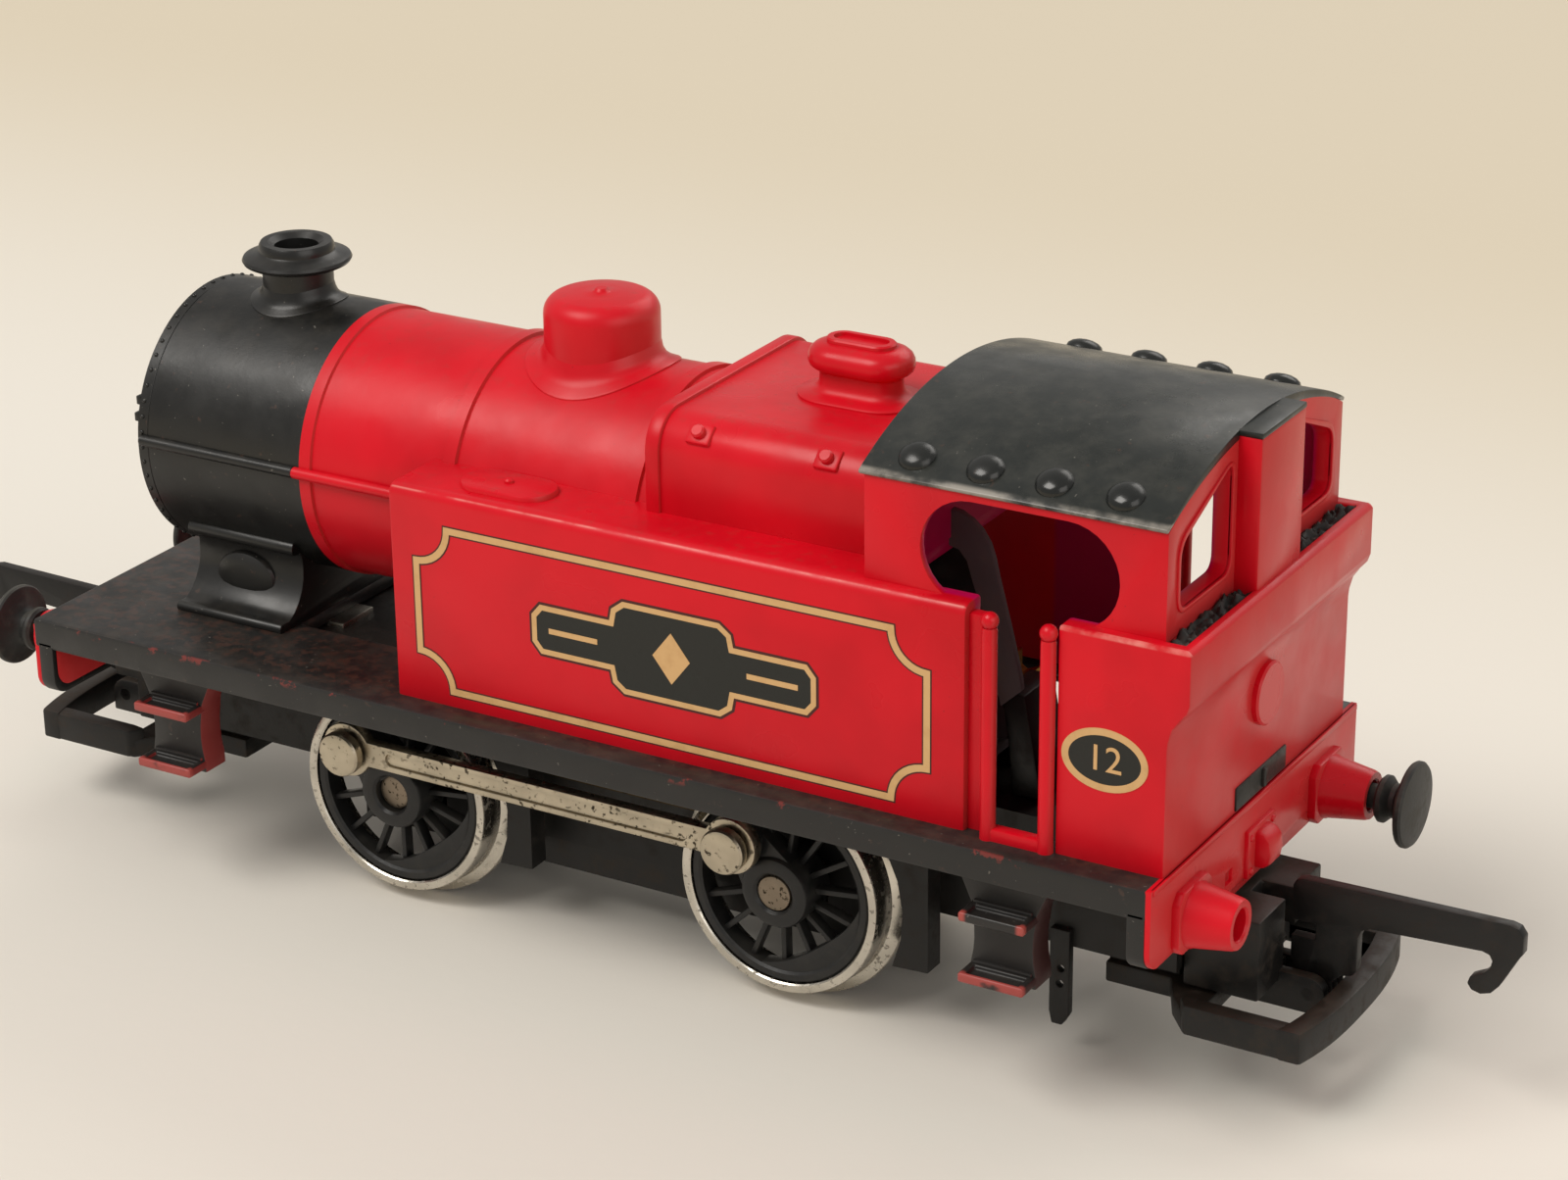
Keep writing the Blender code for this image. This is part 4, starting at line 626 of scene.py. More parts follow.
carve(cab, prism(oval, "y", -2 * CAB_HALF, 2 * CAB_HALF))
for s in SIDES:
    carve(cab, prism(window_outline(s), "x", CAB_REAR - 3, CAB_REAR + 3))
body_piece(soften(cab, 0.2), "cab_walls", red_cab)
print("cab walls", CAB_WALL, "mm thick")

# %% Window beads and column
beads = []
for s in SIDES:
    bead = prism(window_outline(s, 0.35), "x", CAB_REAR - 0.2, CAB_REAR + 0.14)
    carve(bead, prism(window_outline(s), "x", CAB_REAR - 2, CAB_REAR + 2))
    beads.append(bead)
body_piece(soften(gather(*beads), 0.08), "window_beads")

COLUMN_HALF, COLUMN_BACK = 3.55, 47.2
column = block((CAB_REAR - 0.6, COLUMN_BACK), (-COLUMN_HALF, COLUMN_HALF), (34.0, ROOF_TOP - 0.55))
body_piece(soften(column, 0.25), "back_column")
print("column stands out to", COLUMN_BACK, "mm")

# %% [markdown]
# ## Roof
# The roof is a thin arched sheet, painted black, with four big round rivets above each side opening.
# The rivets repeat, so a small Geometry Nodes tree sets one on every point of a mesh and turns it to a
# direction that is stored on the point. The same tree makes the small rivets elsewhere.

# %% Trees that set a shape on points


def start_tree(name, sockets):
    """A Geometry Nodes tree with these inputs and one output."""
    tree = bpy.data.node_groups.new(name, "GeometryNodeTree")
    for label, kind in sockets.items():
        tree.interface.new_socket(label, in_out="INPUT", socket_type="NodeSocket" + kind)
    tree.interface.new_socket("Geometry", in_out="OUTPUT", socket_type="NodeSocketGeometry")
    return tree, add(tree, "NodeGroupInput").outputs


def end_tree(tree, given, placing):
    """Set the shape on every point, make the copies real and paint them."""
    placed = add(tree, "GeometryNodeInstanceOnPoints", placing)
    real = add(tree, "GeometryNodeRealizeInstances", {"Geometry": placed.outputs["Instances"]})
    painted = add(tree, "GeometryNodeSetMaterial", {"Geometry": real.outputs["Geometry"],
                                                    "Material": given["Finish"]})
    add(tree, "NodeGroupOutput", {"Geometry": painted.outputs["Geometry"]})


def run_tree(tree, mesh, values):
    """Run a tree on a mesh with these inputs and keep what it makes."""
    host = new_object(tree.name, mesh)
    step = host.modifiers.new(tree.name, "NODES")
    step.node_group = tree
    for item in tree.interface.items_tree:
        if item.name in values:
            step[item.identifier] = values[item.name]
    return settle(host)


print("tree helpers ready")

# %% Rivet tree
rivet_tree, given = start_tree("rivets", {"Geometry": "Geometry", "Sides": "Int", "Radius": "Float",
                                          "Height": "Float", "Finish": "Material"})
ball = add(rivet_tree, "GeometryNodeMeshUVSphere", {"Segments": given["Sides"], "Rings": 8, "Radius": 1.0})
size = add(rivet_tree, "ShaderNodeCombineXYZ", {"X": given["Radius"], "Y": given["Radius"],
                                                "Z": given["Height"]})
stored = add(rivet_tree, "GeometryNodeInputNamedAttribute", {"Name": "outward"}, data_type="FLOAT_VECTOR")
aim = add(rivet_tree, "FunctionNodeAlignRotationToVector", {"Vector": stored.outputs["Attribute"]},
          axis="Z")
end_tree(rivet_tree, given, {"Points": given["Geometry"], "Instance": ball.outputs["Mesh"],
                             "Rotation": aim.outputs["Rotation"], "Scale": size.outputs["Vector"]})


def rivets(places, radius, height, finish, sides):
    """One rivet at each place, each given as a point and the way it faces."""
    mesh = bpy.data.meshes.new("places")
    mesh.from_pydata([tuple(point) for point, _ in places], [], [])
    outward = mesh.attributes.new("outward", "FLOAT_VECTOR", "POINT")
    for item, (_, way) in zip(outward.data, places):
        item.vector = Vector(way).normalized()
    return run_tree(rivet_tree, mesh, {"Sides": sides, "Radius": radius, "Height": height, "Finish": finish})


print("rivet tree has", len(rivet_tree.nodes), "nodes")

# %% Roof
ROOF_THICK = 0.75
outer = roof_arc(CAB_HALF, EAVES_Z, ROOF_TOP)
inner = roof_arc(CAB_HALF - 0.1, EAVES_Z - ROOF_THICK * 0.4, ROOF_TOP - ROOF_THICK)
roof = prism(outer + list(reversed(inner)), "x", CAB_FRONT, CAB_REAR + 0.03)
cap = block((CAB_REAR - 0.4, COLUMN_BACK), (-COLUMN_HALF, COLUMN_HALF), (ROOF_TOP - 0.62, ROOF_TOP - 0.2))
body_piece(soften(gather(roof, cap), 0.12), "cab_roof", roof_black)

ROOF_RIVETS_X, ROOF_RIVET_Y = (26.7, 31.7, 36.65, 41.7), 12.2
roof_radius = arch_radius(CAB_HALF, ROOF_TOP - EAVES_Z)
up = math.sqrt(roof_radius ** 2 - ROOF_RIVET_Y ** 2)
places = [((x, s * ROOF_RIVET_Y, ROOF_TOP - roof_radius + up), (0, s * ROOF_RIVET_Y, up))
          for s in SIDES for x in ROOF_RIVETS_X]
body_piece(rivets(places, 1.3, 0.66, rivet_black, 32), "roof_rivets", rivet_black)
print("roof with", len(places), "rivets")

# %% [markdown]
# ## Boiler and smokebox
# Both are turned about one axis. The boiler has raised bands, and the smokebox has a row of small
# rivets round its front edge and a domed door. They are two pieces only because they are two colours.

# %% Boiler and smokebox
BAND_RISE, BAND_WIDTH, TURN_STEPS = 0.26, 1.0, 96


def band(x):
    """A low raised band in a turned profile."""
    h, r = BAND_WIDTH / 2, BOILER_R + BAND_RISE
    return [(BOILER_R, x - h - 0.08), (r, x - h), (r, x + h), (BOILER_R, x + h + 0.08)]


front, rear, rim_r = SMOKEBOX_FRONT, SMOKEBOX_REAR, SMOKEBOX_R
barrel = [(0, rear - 0.6), (rim_r - 0.02, rear - 0.6), (rim_r, rear - 0.05), (rim_r, rear + 0.85),
          (BOILER_R, rear + 0.93)]
barrel += band(TANK_FRONT + 1.6) + band(FIREBOX_FRONT - 2.0)
barrel += [(BOILER_R, FIREBOX_FRONT + 1), (0, FIREBOX_FRONT + 1)]
body_piece(turned(barrel, "x", (0, 0, BOILER_Z), TURN_STEPS), "boiler_barrel", angle=25)

DOOR_R = 7.6
drum = [(0, front - 1.3), (2.0, front - 1.28), (DOOR_R * 0.6, front - 1.1), (DOOR_R - 0.7, front - 0.75),
        (DOOR_R - 0.15, front - 0.5), (DOOR_R, front - 0.3), (DOOR_R, front), (rim_r - 0.35, front),
        (rim_r, front + 0.3), (rim_r, front + 1.15), (rim_r - 0.06, front + 1.2), (rim_r, front + 1.25),
        (rim_r, rear - 0.12), (rim_r - 0.06, rear - 0.04), (0, rear - 0.04)]
body_piece(turned(drum, "x", (0, 0, BOILER_Z), TURN_STEPS), "smokebox", smokebox_black, 25)
print("boiler has", TURN_STEPS, "sides")

# %% Smokebox rivets, handrails and door fittings
RIM_RIVETS = 54
places = []
for k in range(RIM_RIVETS):
    t = 2 * math.pi * k / RIM_RIVETS
    out = Vector((0, math.cos(t), math.sin(t)))
    places.append((Vector((front + 0.65, 0, BOILER_Z)) + out * SMOKEBOX_R, out))
body_piece(rivets(places, 0.18, 0.13, smokebox_black, 10), "smokebox_rivets", smokebox_black)

HANDRAIL_Z, HANDRAIL_R = BOILER_Z + 0.6, 0.44
for name, finish, x0, x1 in (("smokebox_handrails", smokebox_black, front + 0.6, rear - 0.5),
                             ("boiler_handrails", red_plastic, rear - 0.6, TANK_FRONT + 0.4)):
    rails = [cylinder(HANDRAIL_R, "x", (0, s * (rim_r + 0.05), HANDRAIL_Z), x0, x1, 14, 0.1) for s in SIDES]
    body_piece(gather(*rails), name, finish)

STRAPS_UP, STRAP_HALF = (2.2, 3.4), 0.35
straps = []
for s in SIDES:
    for dz in STRAPS_UP:
        y = s * math.sqrt(rim_r ** 2 - dz ** 2)
        straps.append(block((front - 0.15, front + 0.3), (y - s * 1.2, y - s * 0.06),
                            (BOILER_Z + dz - STRAP_HALF, BOILER_Z + dz + STRAP_HALF)))
dart = cylinder(1.0, "x", (0, 0, BOILER_Z), front - 2.0, front - 1.0, 24, 0.15)
handle = block((front - 2.1, front - 1.7), (-0.28, 0.28), (BOILER_Z - 3.0, BOILER_Z))
body_piece(soften(gather(*straps, dart, handle), 0.1), "smokebox_door_fittings", smokebox_black)
print(RIM_RIVETS, "rivets on the rim")

# %% [markdown]
# ## Chimney and dome
# The chimney and the dome stand on skirts that follow the round boiler. Such a skirt is a set of rings
# whose height comes from the boiler's circle, with a fillet that rises to the mounting.

# %% Chimney and dome


def crown(y, lift):
    """Height of the boiler's surface at a distance from the middle, plus a lift."""
    return BOILER_Z + math.sqrt(max((BOILER_R + lift) ** 2 - y * y, 0.0))


def skirt(x, rings, steps=64):
    """A flange that follows the boiler: each ring has a radius and a lift above the surface."""
    loops = []
    for radius, lift in rings:
        circle = [polar(x, 0, radius, 2 * math.pi * k / steps) for k in range(steps)]
        loops.append([Vector((a, b, crown(b, lift))) for a, b in circle])
    return lofted(loops)


CHIMNEY_X, CHIMNEY_TOP, CHIMNEY_R, CAP_R, BORE_R = -32.5, 47.0, 2.65, 4.1, 1.65
base = crown(0, SMOKEBOX_R - BOILER_R)
stack = [(0, base - 1.5), (CHIMNEY_R, base - 1.5), (CHIMNEY_R, 44.95), (CHIMNEY_R + 0.3, 45.12),
         (CAP_R - 0.45, 45.28), (CAP_R - 0.12, 45.45), (CAP_R, 45.66), (CAP_R - 0.1, 45.86),
         (CAP_R - 0.5, 46.02), (CHIMNEY_R + 0.35, 46.16), (CHIMNEY_R + 0.18, 46.32),
         (CHIMNEY_R + 0.15, 46.75), (CHIMNEY_R, CHIMNEY_TOP), (BORE_R + 0.45, CHIMNEY_TOP),
         (BORE_R, CHIMNEY_TOP - 0.35), (BORE_R, base + 0.5), (0, base + 0.5)]
rings = [(CHIMNEY_R + r, lift + 0.2) for r, lift in
         ((1.0, -0.6), (1.0, 0.06), (0.9, 0.12), (0.5, 0.22), (0.25, 0.45), (0.1, 0.8),
          (0.0, 1.2), (-0.1, 1.4))]
body_piece(gather(turned(stack, "z", (CHIMNEY_X, 0, 0), 64), skirt(CHIMNEY_X, rings)), "chimney",
           smokebox_black)

DOME_X, DOME_R, DOME_TOP = -5.5, 4.2, 47.55
SHOULDER_R, SHOULDER_DROP = 1.35, 1.75
shoulder = [polar(DOME_R - SHOULDER_R, DOME_TOP - SHOULDER_DROP, SHOULDER_R, 0.2 * k) for k in range(8)]
hat = [(0, base - 2), (DOME_R, base - 2), (DOME_R, base)] + shoulder
hat += [(1.6, DOME_TOP - 0.31), (0.7, DOME_TOP - 0.27), (0.55, DOME_TOP - 0.2), (0.4, DOME_TOP),
        (0, DOME_TOP)]
rings = [(DOME_R + r, lift) for r, lift in
         ((1.4, -0.6), (1.4, 0.1), (1.25, 0.18), (0.7, 0.24), (0.35, 0.42), (0.12, 0.78),
          (0.02, 1.3), (-0.1, 1.5))]
body_piece(gather(turned(hat, "z", (DOME_X, 0, 0), 72), skirt(DOME_X, rings, 72)), "dome")
print("chimney top", CHIMNEY_TOP, "dome top", DOME_TOP)

# %% [markdown]
# ## Saddle
# The saddle under the smokebox is an outline with hollow sides that sweep out to the footplate, with a
# round bead at the top and at the bottom. An oval boss with a domed face stands on each side.

# %% Saddle
SADDLE_X, SADDLE_LENGTH = -33.0, 9.8
BOSS_X, BOSS_Z, BOSS_SQUASH = -33.3, 22.4, 0.78
right = [(10.0, PLATE_TOP - 0.3), (10.3, PLATE_TOP + 0.05)] + arc(10.0, PLATE_TOP + 0.3, 0.38, -30, 110, 6)
right += [(9.2, 20.55), (8.55, 20.95), (7.95, 21.6), (7.5, 22.4), (7.25, 23.2), (7.18, 24.0),
          (7.2, 24.7), (7.4, 25.3)]
right += arc(7.82, 25.9, 0.6, -90, 90, 8) + [(6.6, 27.4)]
saddle = prism(right + mirrored(right), "x", SADDLE_X - SADDLE_LENGTH / 2, SADDLE_X + SADDLE_LENGTH / 2)
bosses = []
for s in SIDES:
    rings = []
    for radius, out in ((2.7, 6.9), (2.7, 7.4), (2.55, 7.62), (2.1, 7.8), (1.4, 7.9), (0.6, 7.94)):
        oval = arc(BOSS_X, BOSS_Z, radius, 0, 360, 40, BOSS_SQUASH)[:-1]
        rings.append([Vector((a, s * out, b)) for a, b in oval])
    bosses.append(lofted(rings))
body_piece(gather(soften(saddle, 0.12), *bosses), "smokebox_saddle", smokebox_black)
print("saddle", SADDLE_LENGTH, "mm long")

# %% [markdown]
# ## Firebox and safety valves
# The firebox has a flat top and round shoulders, so it is an outline pushed along X, with a raised rim at
# its front. The valve casing is a stack of racetrack-shaped loops, skinned from the base to the cap.

# %% Firebox and safety valves
firebox = prism(rounded_top(FIREBOX_HALF, TANK_TOP - 0.6, FIREBOX_TOP, 2.7, 12), "x", FIREBOX_FRONT + 0.3,
                CAB_FRONT + 1)
rim = prism(rounded_top(FIREBOX_HALF + 0.24, TANK_TOP - 0.5, FIREBOX_TOP + 0.24, 2.85, 12), "x",
            FIREBOX_FRONT, FIREBOX_FRONT + 1.1)
body_piece(gather(soften(firebox, 0.15), soften(rim, 0.14)), "firebox", angle=25)


def racetrack(x, half_length, radius, z, y=0.0):
    straight = half_length - radius
    loop = arc(x + straight, y, radius, -90, 90, 16) + arc(x - straight, y, radius, 90, 270, 16)
    return [Vector((a, b, z)) for a, b in loop]


VALVE_X, VALVE_TOP = 15.7, 47.2
levels = [(42.6, 4.7, 3.0), (43.15, 4.7, 3.0), (43.28, 4.55, 2.85), (43.36, 3.8, 2.1), (43.6, 3.35, 1.75),
          (44.0, 3.15, 1.6), (44.75, 3.1, 1.58), (44.95, 3.3, 1.8), (45.08, 3.6, 2.1), (45.28, 3.82, 2.32),
          (45.6, 3.92, 2.42), (46.0, 3.9, 2.4), (46.35, 3.75, 2.25), (46.62, 3.45, 1.95), (46.8, 3.05, 1.55),
          (46.88, 2.6, 1.1)]
casing = lofted([racetrack(VALVE_X, length, radius, z) for z, length, radius in levels])
levels = [(46.7, 2.6, 1.2), (47.1, 2.6, 1.2), (VALVE_TOP, 2.5, 1.1)]
collar = lofted([racetrack(VALVE_X, length, radius, z) for z, length, radius in levels])
carve(collar, lofted([racetrack(VALVE_X, 2.1, 0.7, z) for z in (46.95, 48)]))
body_piece(gather(casing, collar), "safety_valves", angle=40)
print("valve casing top", VALVE_TOP)

# %% Washout plugs and tank lids
PLUGS_X, PLUG_IN, PLUG_DOWN, PLUG_TILT = (8.6, 18.6), 0.75, 0.95, math.radians(-45)
plugs = []
for s in SIDES:
    for x in PLUGS_X:
        seat = soften(block((-0.95, 0.95), (-0.8, 0.8), (-0.5, 0.3)), 0.2)
        pin = turned([(0, 0), (0.5, 0), (0.5, 0.65), (0.38, 0.8), (0, 0.8)], "z", (0, 0, 0), 20)
        plug = gather(seat, pin)
        place = Matrix.Translation((x, s * (FIREBOX_HALF - PLUG_IN), FIREBOX_TOP - PLUG_DOWN))
        plug.data.transform(place @ Matrix.Rotation(s * PLUG_TILT, 4, "X"))
        plugs.append(plug)
body_piece(gather(*plugs), "washout_plugs")

LID_X, LID_Y, LID_STRAIGHT = -6.05, 11.6, 1.75
lids = []
for s in SIDES:
    heights = ((2.0, -0.2), (2.0, 0.26), (1.93, 0.38), (1.8, 0.44))
    lids.append(lofted([racetrack(LID_X, r + LID_STRAIGHT, r, TANK_TOP + z, s * LID_Y) for r, z in heights]))
    pin = [(0, 0), (0.35, 0), (0.35, 0.62), (0.22, 0.74), (0, 0.74)]
    lids.append(turned([(r, TANK_TOP + z) for r, z in pin], "z", (LID_X, s * LID_Y, 0), 16))
body_piece(gather(*lids), "tank_lids")
print(len(plugs), "washout plugs and two lids")

# %% [markdown]
# ## Footplate and beams
# The footplate is a thin plate with a turned-down edge and an opening between saddle and tanks, through
# which the chassis shows. A red beam closes each end. Its front is red up to the top of the plate, and
# its sides are black, so the sides are a separate ring round the red.

# %% Footplate and beams
BEAM_THICK, BEAM_CORNER, PLATE_THICK, UNDER_HALF = 1.7, 1.4, 1.2, 14.3
OPENING_FRONT, OPENING_HALF, CUT_HIGH = -28.0, 7.9, 30
plate_bottom, beam_back = PLATE_TOP - PLATE_EDGE, BEAM_X - BEAM_THICK
plate = block((-BEAM_X + 0.03, BEAM_X - 0.3), (-HALF_WIDTH, HALF_WIDTH), (plate_bottom, PLATE_TOP))
carve(plate, block((-beam_back, beam_back), (-UNDER_HALF, UNDER_HALF), (CUT_LOW, PLATE_TOP - PLATE_THICK)))
carve(plate, block((TANK_FRONT + WALL, CAB_REAR - 1.3), (-inner_half, inner_half), (CUT_LOW, CUT_HIGH)))
carve(plate, block((OPENING_FRONT, TANK_FRONT + 3), (-OPENING_HALF, OPENING_HALF), (CUT_LOW, CUT_HIGH)))
body_piece(soften(plate, 0.3), "footplate", plate_black)


def beam_outline(inset, high):
    shift = inset + BEAM_CORNER
    lower = arc(shift - HALF_WIDTH, BEAM_BOTTOM + shift, BEAM_CORNER, 180, 270, 8)
    return lower + mirrored(lower) + [(HALF_WIDTH - inset, high), (-HALF_WIDTH + inset, high)]


reds, blacks = [], []
for end in SIDES:
    reds.append(prism(beam_outline(0.5, PLATE_TOP - 0.5), "x", end * beam_back, end * (BEAM_X - 0.3)))
    red_top = PLATE_TOP if end > 0 else PLATE_TOP - 0.45
    slab = prism(beam_outline(0.06, red_top), "x", end * (BEAM_X - 0.45), end * BEAM_X)
    mortise = block((end * (BEAM_X - 0.3), end * (BEAM_X + 1)), (-end * 5.2, -end * 4.0), (15.1, 16.1))
    reds.append(carve(slab, mortise))
    ridge = (-HALF_WIDTH + 0.3, HALF_WIDTH - 0.3)
    reds.append(block((end * (BEAM_X - 0.2), end * (BEAM_X + 0.12)), ridge, (red_top - 0.42, red_top)))
    edge = prism(beam_outline(0.0, plate_bottom + 0.5), "x", end * beam_back, end * (BEAM_X - 0.4))
    inside = prism(beam_outline(0.52, CUT_HIGH), "x", end * (BEAM_X - 3), end * (BEAM_X + 1))
    blacks.append(carve(edge, inside))
body_piece(soften(gather(*reds), 0.1), "buffer_beams")
body_piece(soften(gather(*blacks), 0.1), "beam_edges", plate_black)
print("footplate", round(2 * HALF_WIDTH, 1), "mm wide")

# %% [markdown]
# ## Steps
# A step hangs at each corner: a thick bracket that flares to the footplate and two treads with raised
# rims. The bracket is an outline seen from the side, and each tread is a low tray.

# %% Steps
STEPS_Z, STEP_FACE, STEP_BACK = (15.0, 10.45), 15.0, 12.6
TREAD_HALF, TRAY_HALF, CLEAT_HALF, TREAD_THICK = 2.45, 1.95, 2.2, 0.7
half_edge = [(2.5, 9.45), (2.45, 10.5), (2.28, 11.4), (2.22, 12.3), (2.25, 13.2), (2.4, 14.2), (2.5, 15.0),
             (2.95, 16.0), (3.35, 16.9), (3.6, 18.9)]
for name, x, finish in (("front_steps", -STEP_X, front_step_black), ("rear_steps", STEP_X, step_black)):
    steps = []
    outline = [(x + a, b) for a, b in half_edge + mirrored(half_edge)]
    for s in SIDES:
        steps.append(soften(prism(outline, "y", s * STEP_BACK, s * STEP_FACE), 0.15))
        for z in STEPS_Z:
            wide = (s * (STEP_FACE - 0.5), s * (HALF_WIDTH - 0.08))
            tread = block((x - TREAD_HALF, x + TREAD_HALF), wide, (z - TREAD_THICK, z))
            tray = (s * (STEP_FACE + 0.32), s * (HALF_WIDTH - 0.42))
            carve(tread, block((x - TRAY_HALF, x + TRAY_HALF), tray, (z - TREAD_THICK / 2, z + 1)))
            cleat = (s * (STEP_FACE - 0.3), s * (STEP_FACE + 0.22))
            cleat = block((x - CLEAT_HALF, x + CLEAT_HALF), cleat, (z - 0.1, z + 0.25))
            steps += [soften(tread, 0.2, 3), soften(cleat, 0.12)]
    body_piece(gather(*steps), name, finish)
print("each end has", len(steps), "solids in its steps")

# %% [markdown]
# ## Buffers and beam fittings
# Each housing is a turned cone on a square pad with cut corners. The near rear head is missing on this
# engine, so its socket shows as an open bore. A block in the middle of each beam marks the draw hook.

# %% Buffers and beam fittings
BUFFER_Y, BUFFER_Z, HOUSING_END = 11.15, 15.9, 50.2
PAD_BACK, PAD_FRONT, PAD_HALF, PAD_CORNER = 46.1, 47.0, 2.55, 0.7
DRAW_FACE, DRAW_HALF = 46.72, 2.2
cone = [(0, PAD_BACK), (2.3, PAD_BACK), (2.3, 47.1), (2.22, 47.25), (1.8, 49.95), (1.7, HOUSING_END),
        (1.25, HOUSING_END), (1.12, 50.05), (1.1, 46.8), (0, 46.8)]
draw_hook = [(46.4, 14.8), (47.3, 14.75), (47.75, 15.2), (47.9, 16.0), (47.75, 16.9), (47.3, 17.4),
             (46.4, 17.6)]
housings = []
for end in SIDES:
    for s in SIDES:
        housings.append(turned(cone, "x", (0, s * BUFFER_Y, BUFFER_Z), 40, sign=end))
        y, w, c = s * BUFFER_Y, PAD_HALF, PAD_CORNER
        low, high = BUFFER_Z - 2.2, BUFFER_Z + 2.3
        pad = [(y - w + c, low), (y + w - c, low), (y + w, low + c), (y + w, high - c),
               (y + w - c, high), (y - w + c, high), (y - w, high - c), (y - w, low + c)]
        housings.append(soften(prism(pad, "x", end * PAD_BACK, end * PAD_FRONT), 0.15))
    draw = block((end * PAD_BACK, end * DRAW_FACE), (-DRAW_HALF, DRAW_HALF), (14.35, 17.9))
    housings.append(soften(draw, 0.14))
    housings.append(soften(prism(flip(draw_hook, end), "y", -1.15, 1.15), 0.35))
body_piece(gather(*housings), "buffer_housings")

places = [((end * DRAW_FACE, y, z), (end, 0, 0)) for end in SIDES for y in (-1.75, 1.75)
          for z in (14.85, 17.35)]
body_piece(rivets(places, 0.28, 0.18, red_plastic, 14), "beam_rivets")

head = [(0, 47.4), (0.9, 47.4), (0.9, 50.7), (1.5, 50.8), (1.7, 51.0), (1.7, 51.3), (1.5, 51.5),
        (1.25, 51.75), (1.25, 52.1), (1.6, 52.45), (2.6, 52.7), (3.0, 52.85), (3.1, 53.0), (3.1, 53.25),
        (2.95, 53.42), (2.0, 53.58), (0.8, 53.66), (0, 53.68)]
for tail, end, s in (("rear_right", 1, 1), ("front_left", -1, -1), ("front_right", -1, 1)):
    made = turned(head, "x", (0, s * BUFFER_Y, BUFFER_Z), 48, sign=end)
    emit(made, "buffer_" + tail, buffer_black, "engine", ("buffer_head_" + tail,))
print("three buffer heads and four housings")

# %% [markdown]
# ## Bunker back, doorway pillars and coal
# The bunker back has a bare round plate and a black label strip with a small pip. A handrail pillar with
# a ball top stands on each side of each doorway. Coal shows in two strips behind the cab: a grid of
# points that noise pushes up and down, with a fixed pattern.

# %% Bunker back and doorway pillars
disc = [(0, 46.05), (2.25, 46.05), (2.25, 46.6), (2.1, 46.74), (0, 46.74)]
body_piece(turned(disc, "x", (0, 0.6, 27.1), 40), "bunker_round_plate")
strip = soften(block((46.05, 46.4), (-3.8, 4.4), (20.05, 21.75)), 0.1)
pip = soften(block((46.2, 46.62), (0.3, 0.85), (20.2, 21.55)), 0.12)
body_piece(gather(strip, pip), "bunker_label_strip", plate_field)

PILLARS_X, PILLAR_Y, PILLAR_R, BALL_R, BALL_Z = (33.55, 37.8), TANK_HALF + 0.12, 0.53, 0.62, 35.48
shape = [(0, PLATE_TOP - 0.1), (PILLAR_R + 0.03, PLATE_TOP - 0.1), (PILLAR_R, PLATE_TOP + 1.0),
         (PILLAR_R, 34.85), (0.5, 34.95), (0.5, 35.05)]
shape += [polar(0, BALL_Z, BALL_R, t) for t in (-0.9, -0.5, -0.1, 0.3, 0.7, 1.05, 1.35)]
shape.append((0, BALL_Z + BALL_R))
pillars = [turned(shape, "z", (x, s * PILLAR_Y, 0), 24) for x in PILLARS_X for s in SIDES]
body_piece(gather(*pillars), "doorway_pillars")
print(len(pillars), "pillars")

# %% Coal
ROWS, COLUMNS, COAL_X, COAL_LENGTH, COAL_Y = 10, 64, CAB_REAR - 0.05, 1.45, (3.5, 13.75)
COAL_LOW, COAL_TOP = 35.0, 35.5
# Each kind of lump: how many to the millimetre, how high, and its slice of the noise
LUMPS = ((1.3, 1.0, 2.0), (2.9, 0.6, 5.0))
heaps = []
for s in SIDES:
    low, high = sorted(s * y for y in COAL_Y)
    bm = bmesh.new()
    grid = []
    for i in range(ROWS + 1):
        line = []
        for j in range(COLUMNS + 1):
            x, y = COAL_X + COAL_LENGTH * i / ROWS, low + (high - low) * j / COLUMNS
            lump = sum(tall * abs(noise.noise(Vector((x * dense, y * dense, cut))))
                       for dense, tall, cut in LUMPS)
            line.append(bm.verts.new((x, y, COAL_TOP + lump)))
        grid.append(line)
    for i in range(ROWS):
        for j in range(COLUMNS):
            bm.faces.new((grid[i][j], grid[i + 1][j], grid[i + 1][j + 1], grid[i][j + 1]))
    rim = bmesh.ops.extrude_edge_only(bm, edges=[e for e in bm.edges if e.is_boundary])["geom"]
    for item in rim:
        if isinstance(item, bmesh.types.BMVert):
            item.co.z = COAL_LOW
    bmesh.ops.contextual_create(bm, geom=[e for e in bm.edges if e.is_boundary])
    heaps.append(to_temp(bm))
body_piece(gather(*heaps), "bunker_coal", coal_black, 60)
print("coal in", len(heaps), "strips")

# %% [markdown]
# ## Lining and plates
# The tank sides carry a printed gold line with hollow corners, and a black plate with a gold edge. On a
# model these are flat prints, so each is a band a few hundredths of a millimetre proud of the wall. The
# long plate carries a plain diamond and bars, and the oval one on the bunker a fleet number.

# %% Lining helpers
PROUD, ROOT, NUMBER_SIZE, NUMBER_THICK = 0.03, 0.1, 2.6, 0.05


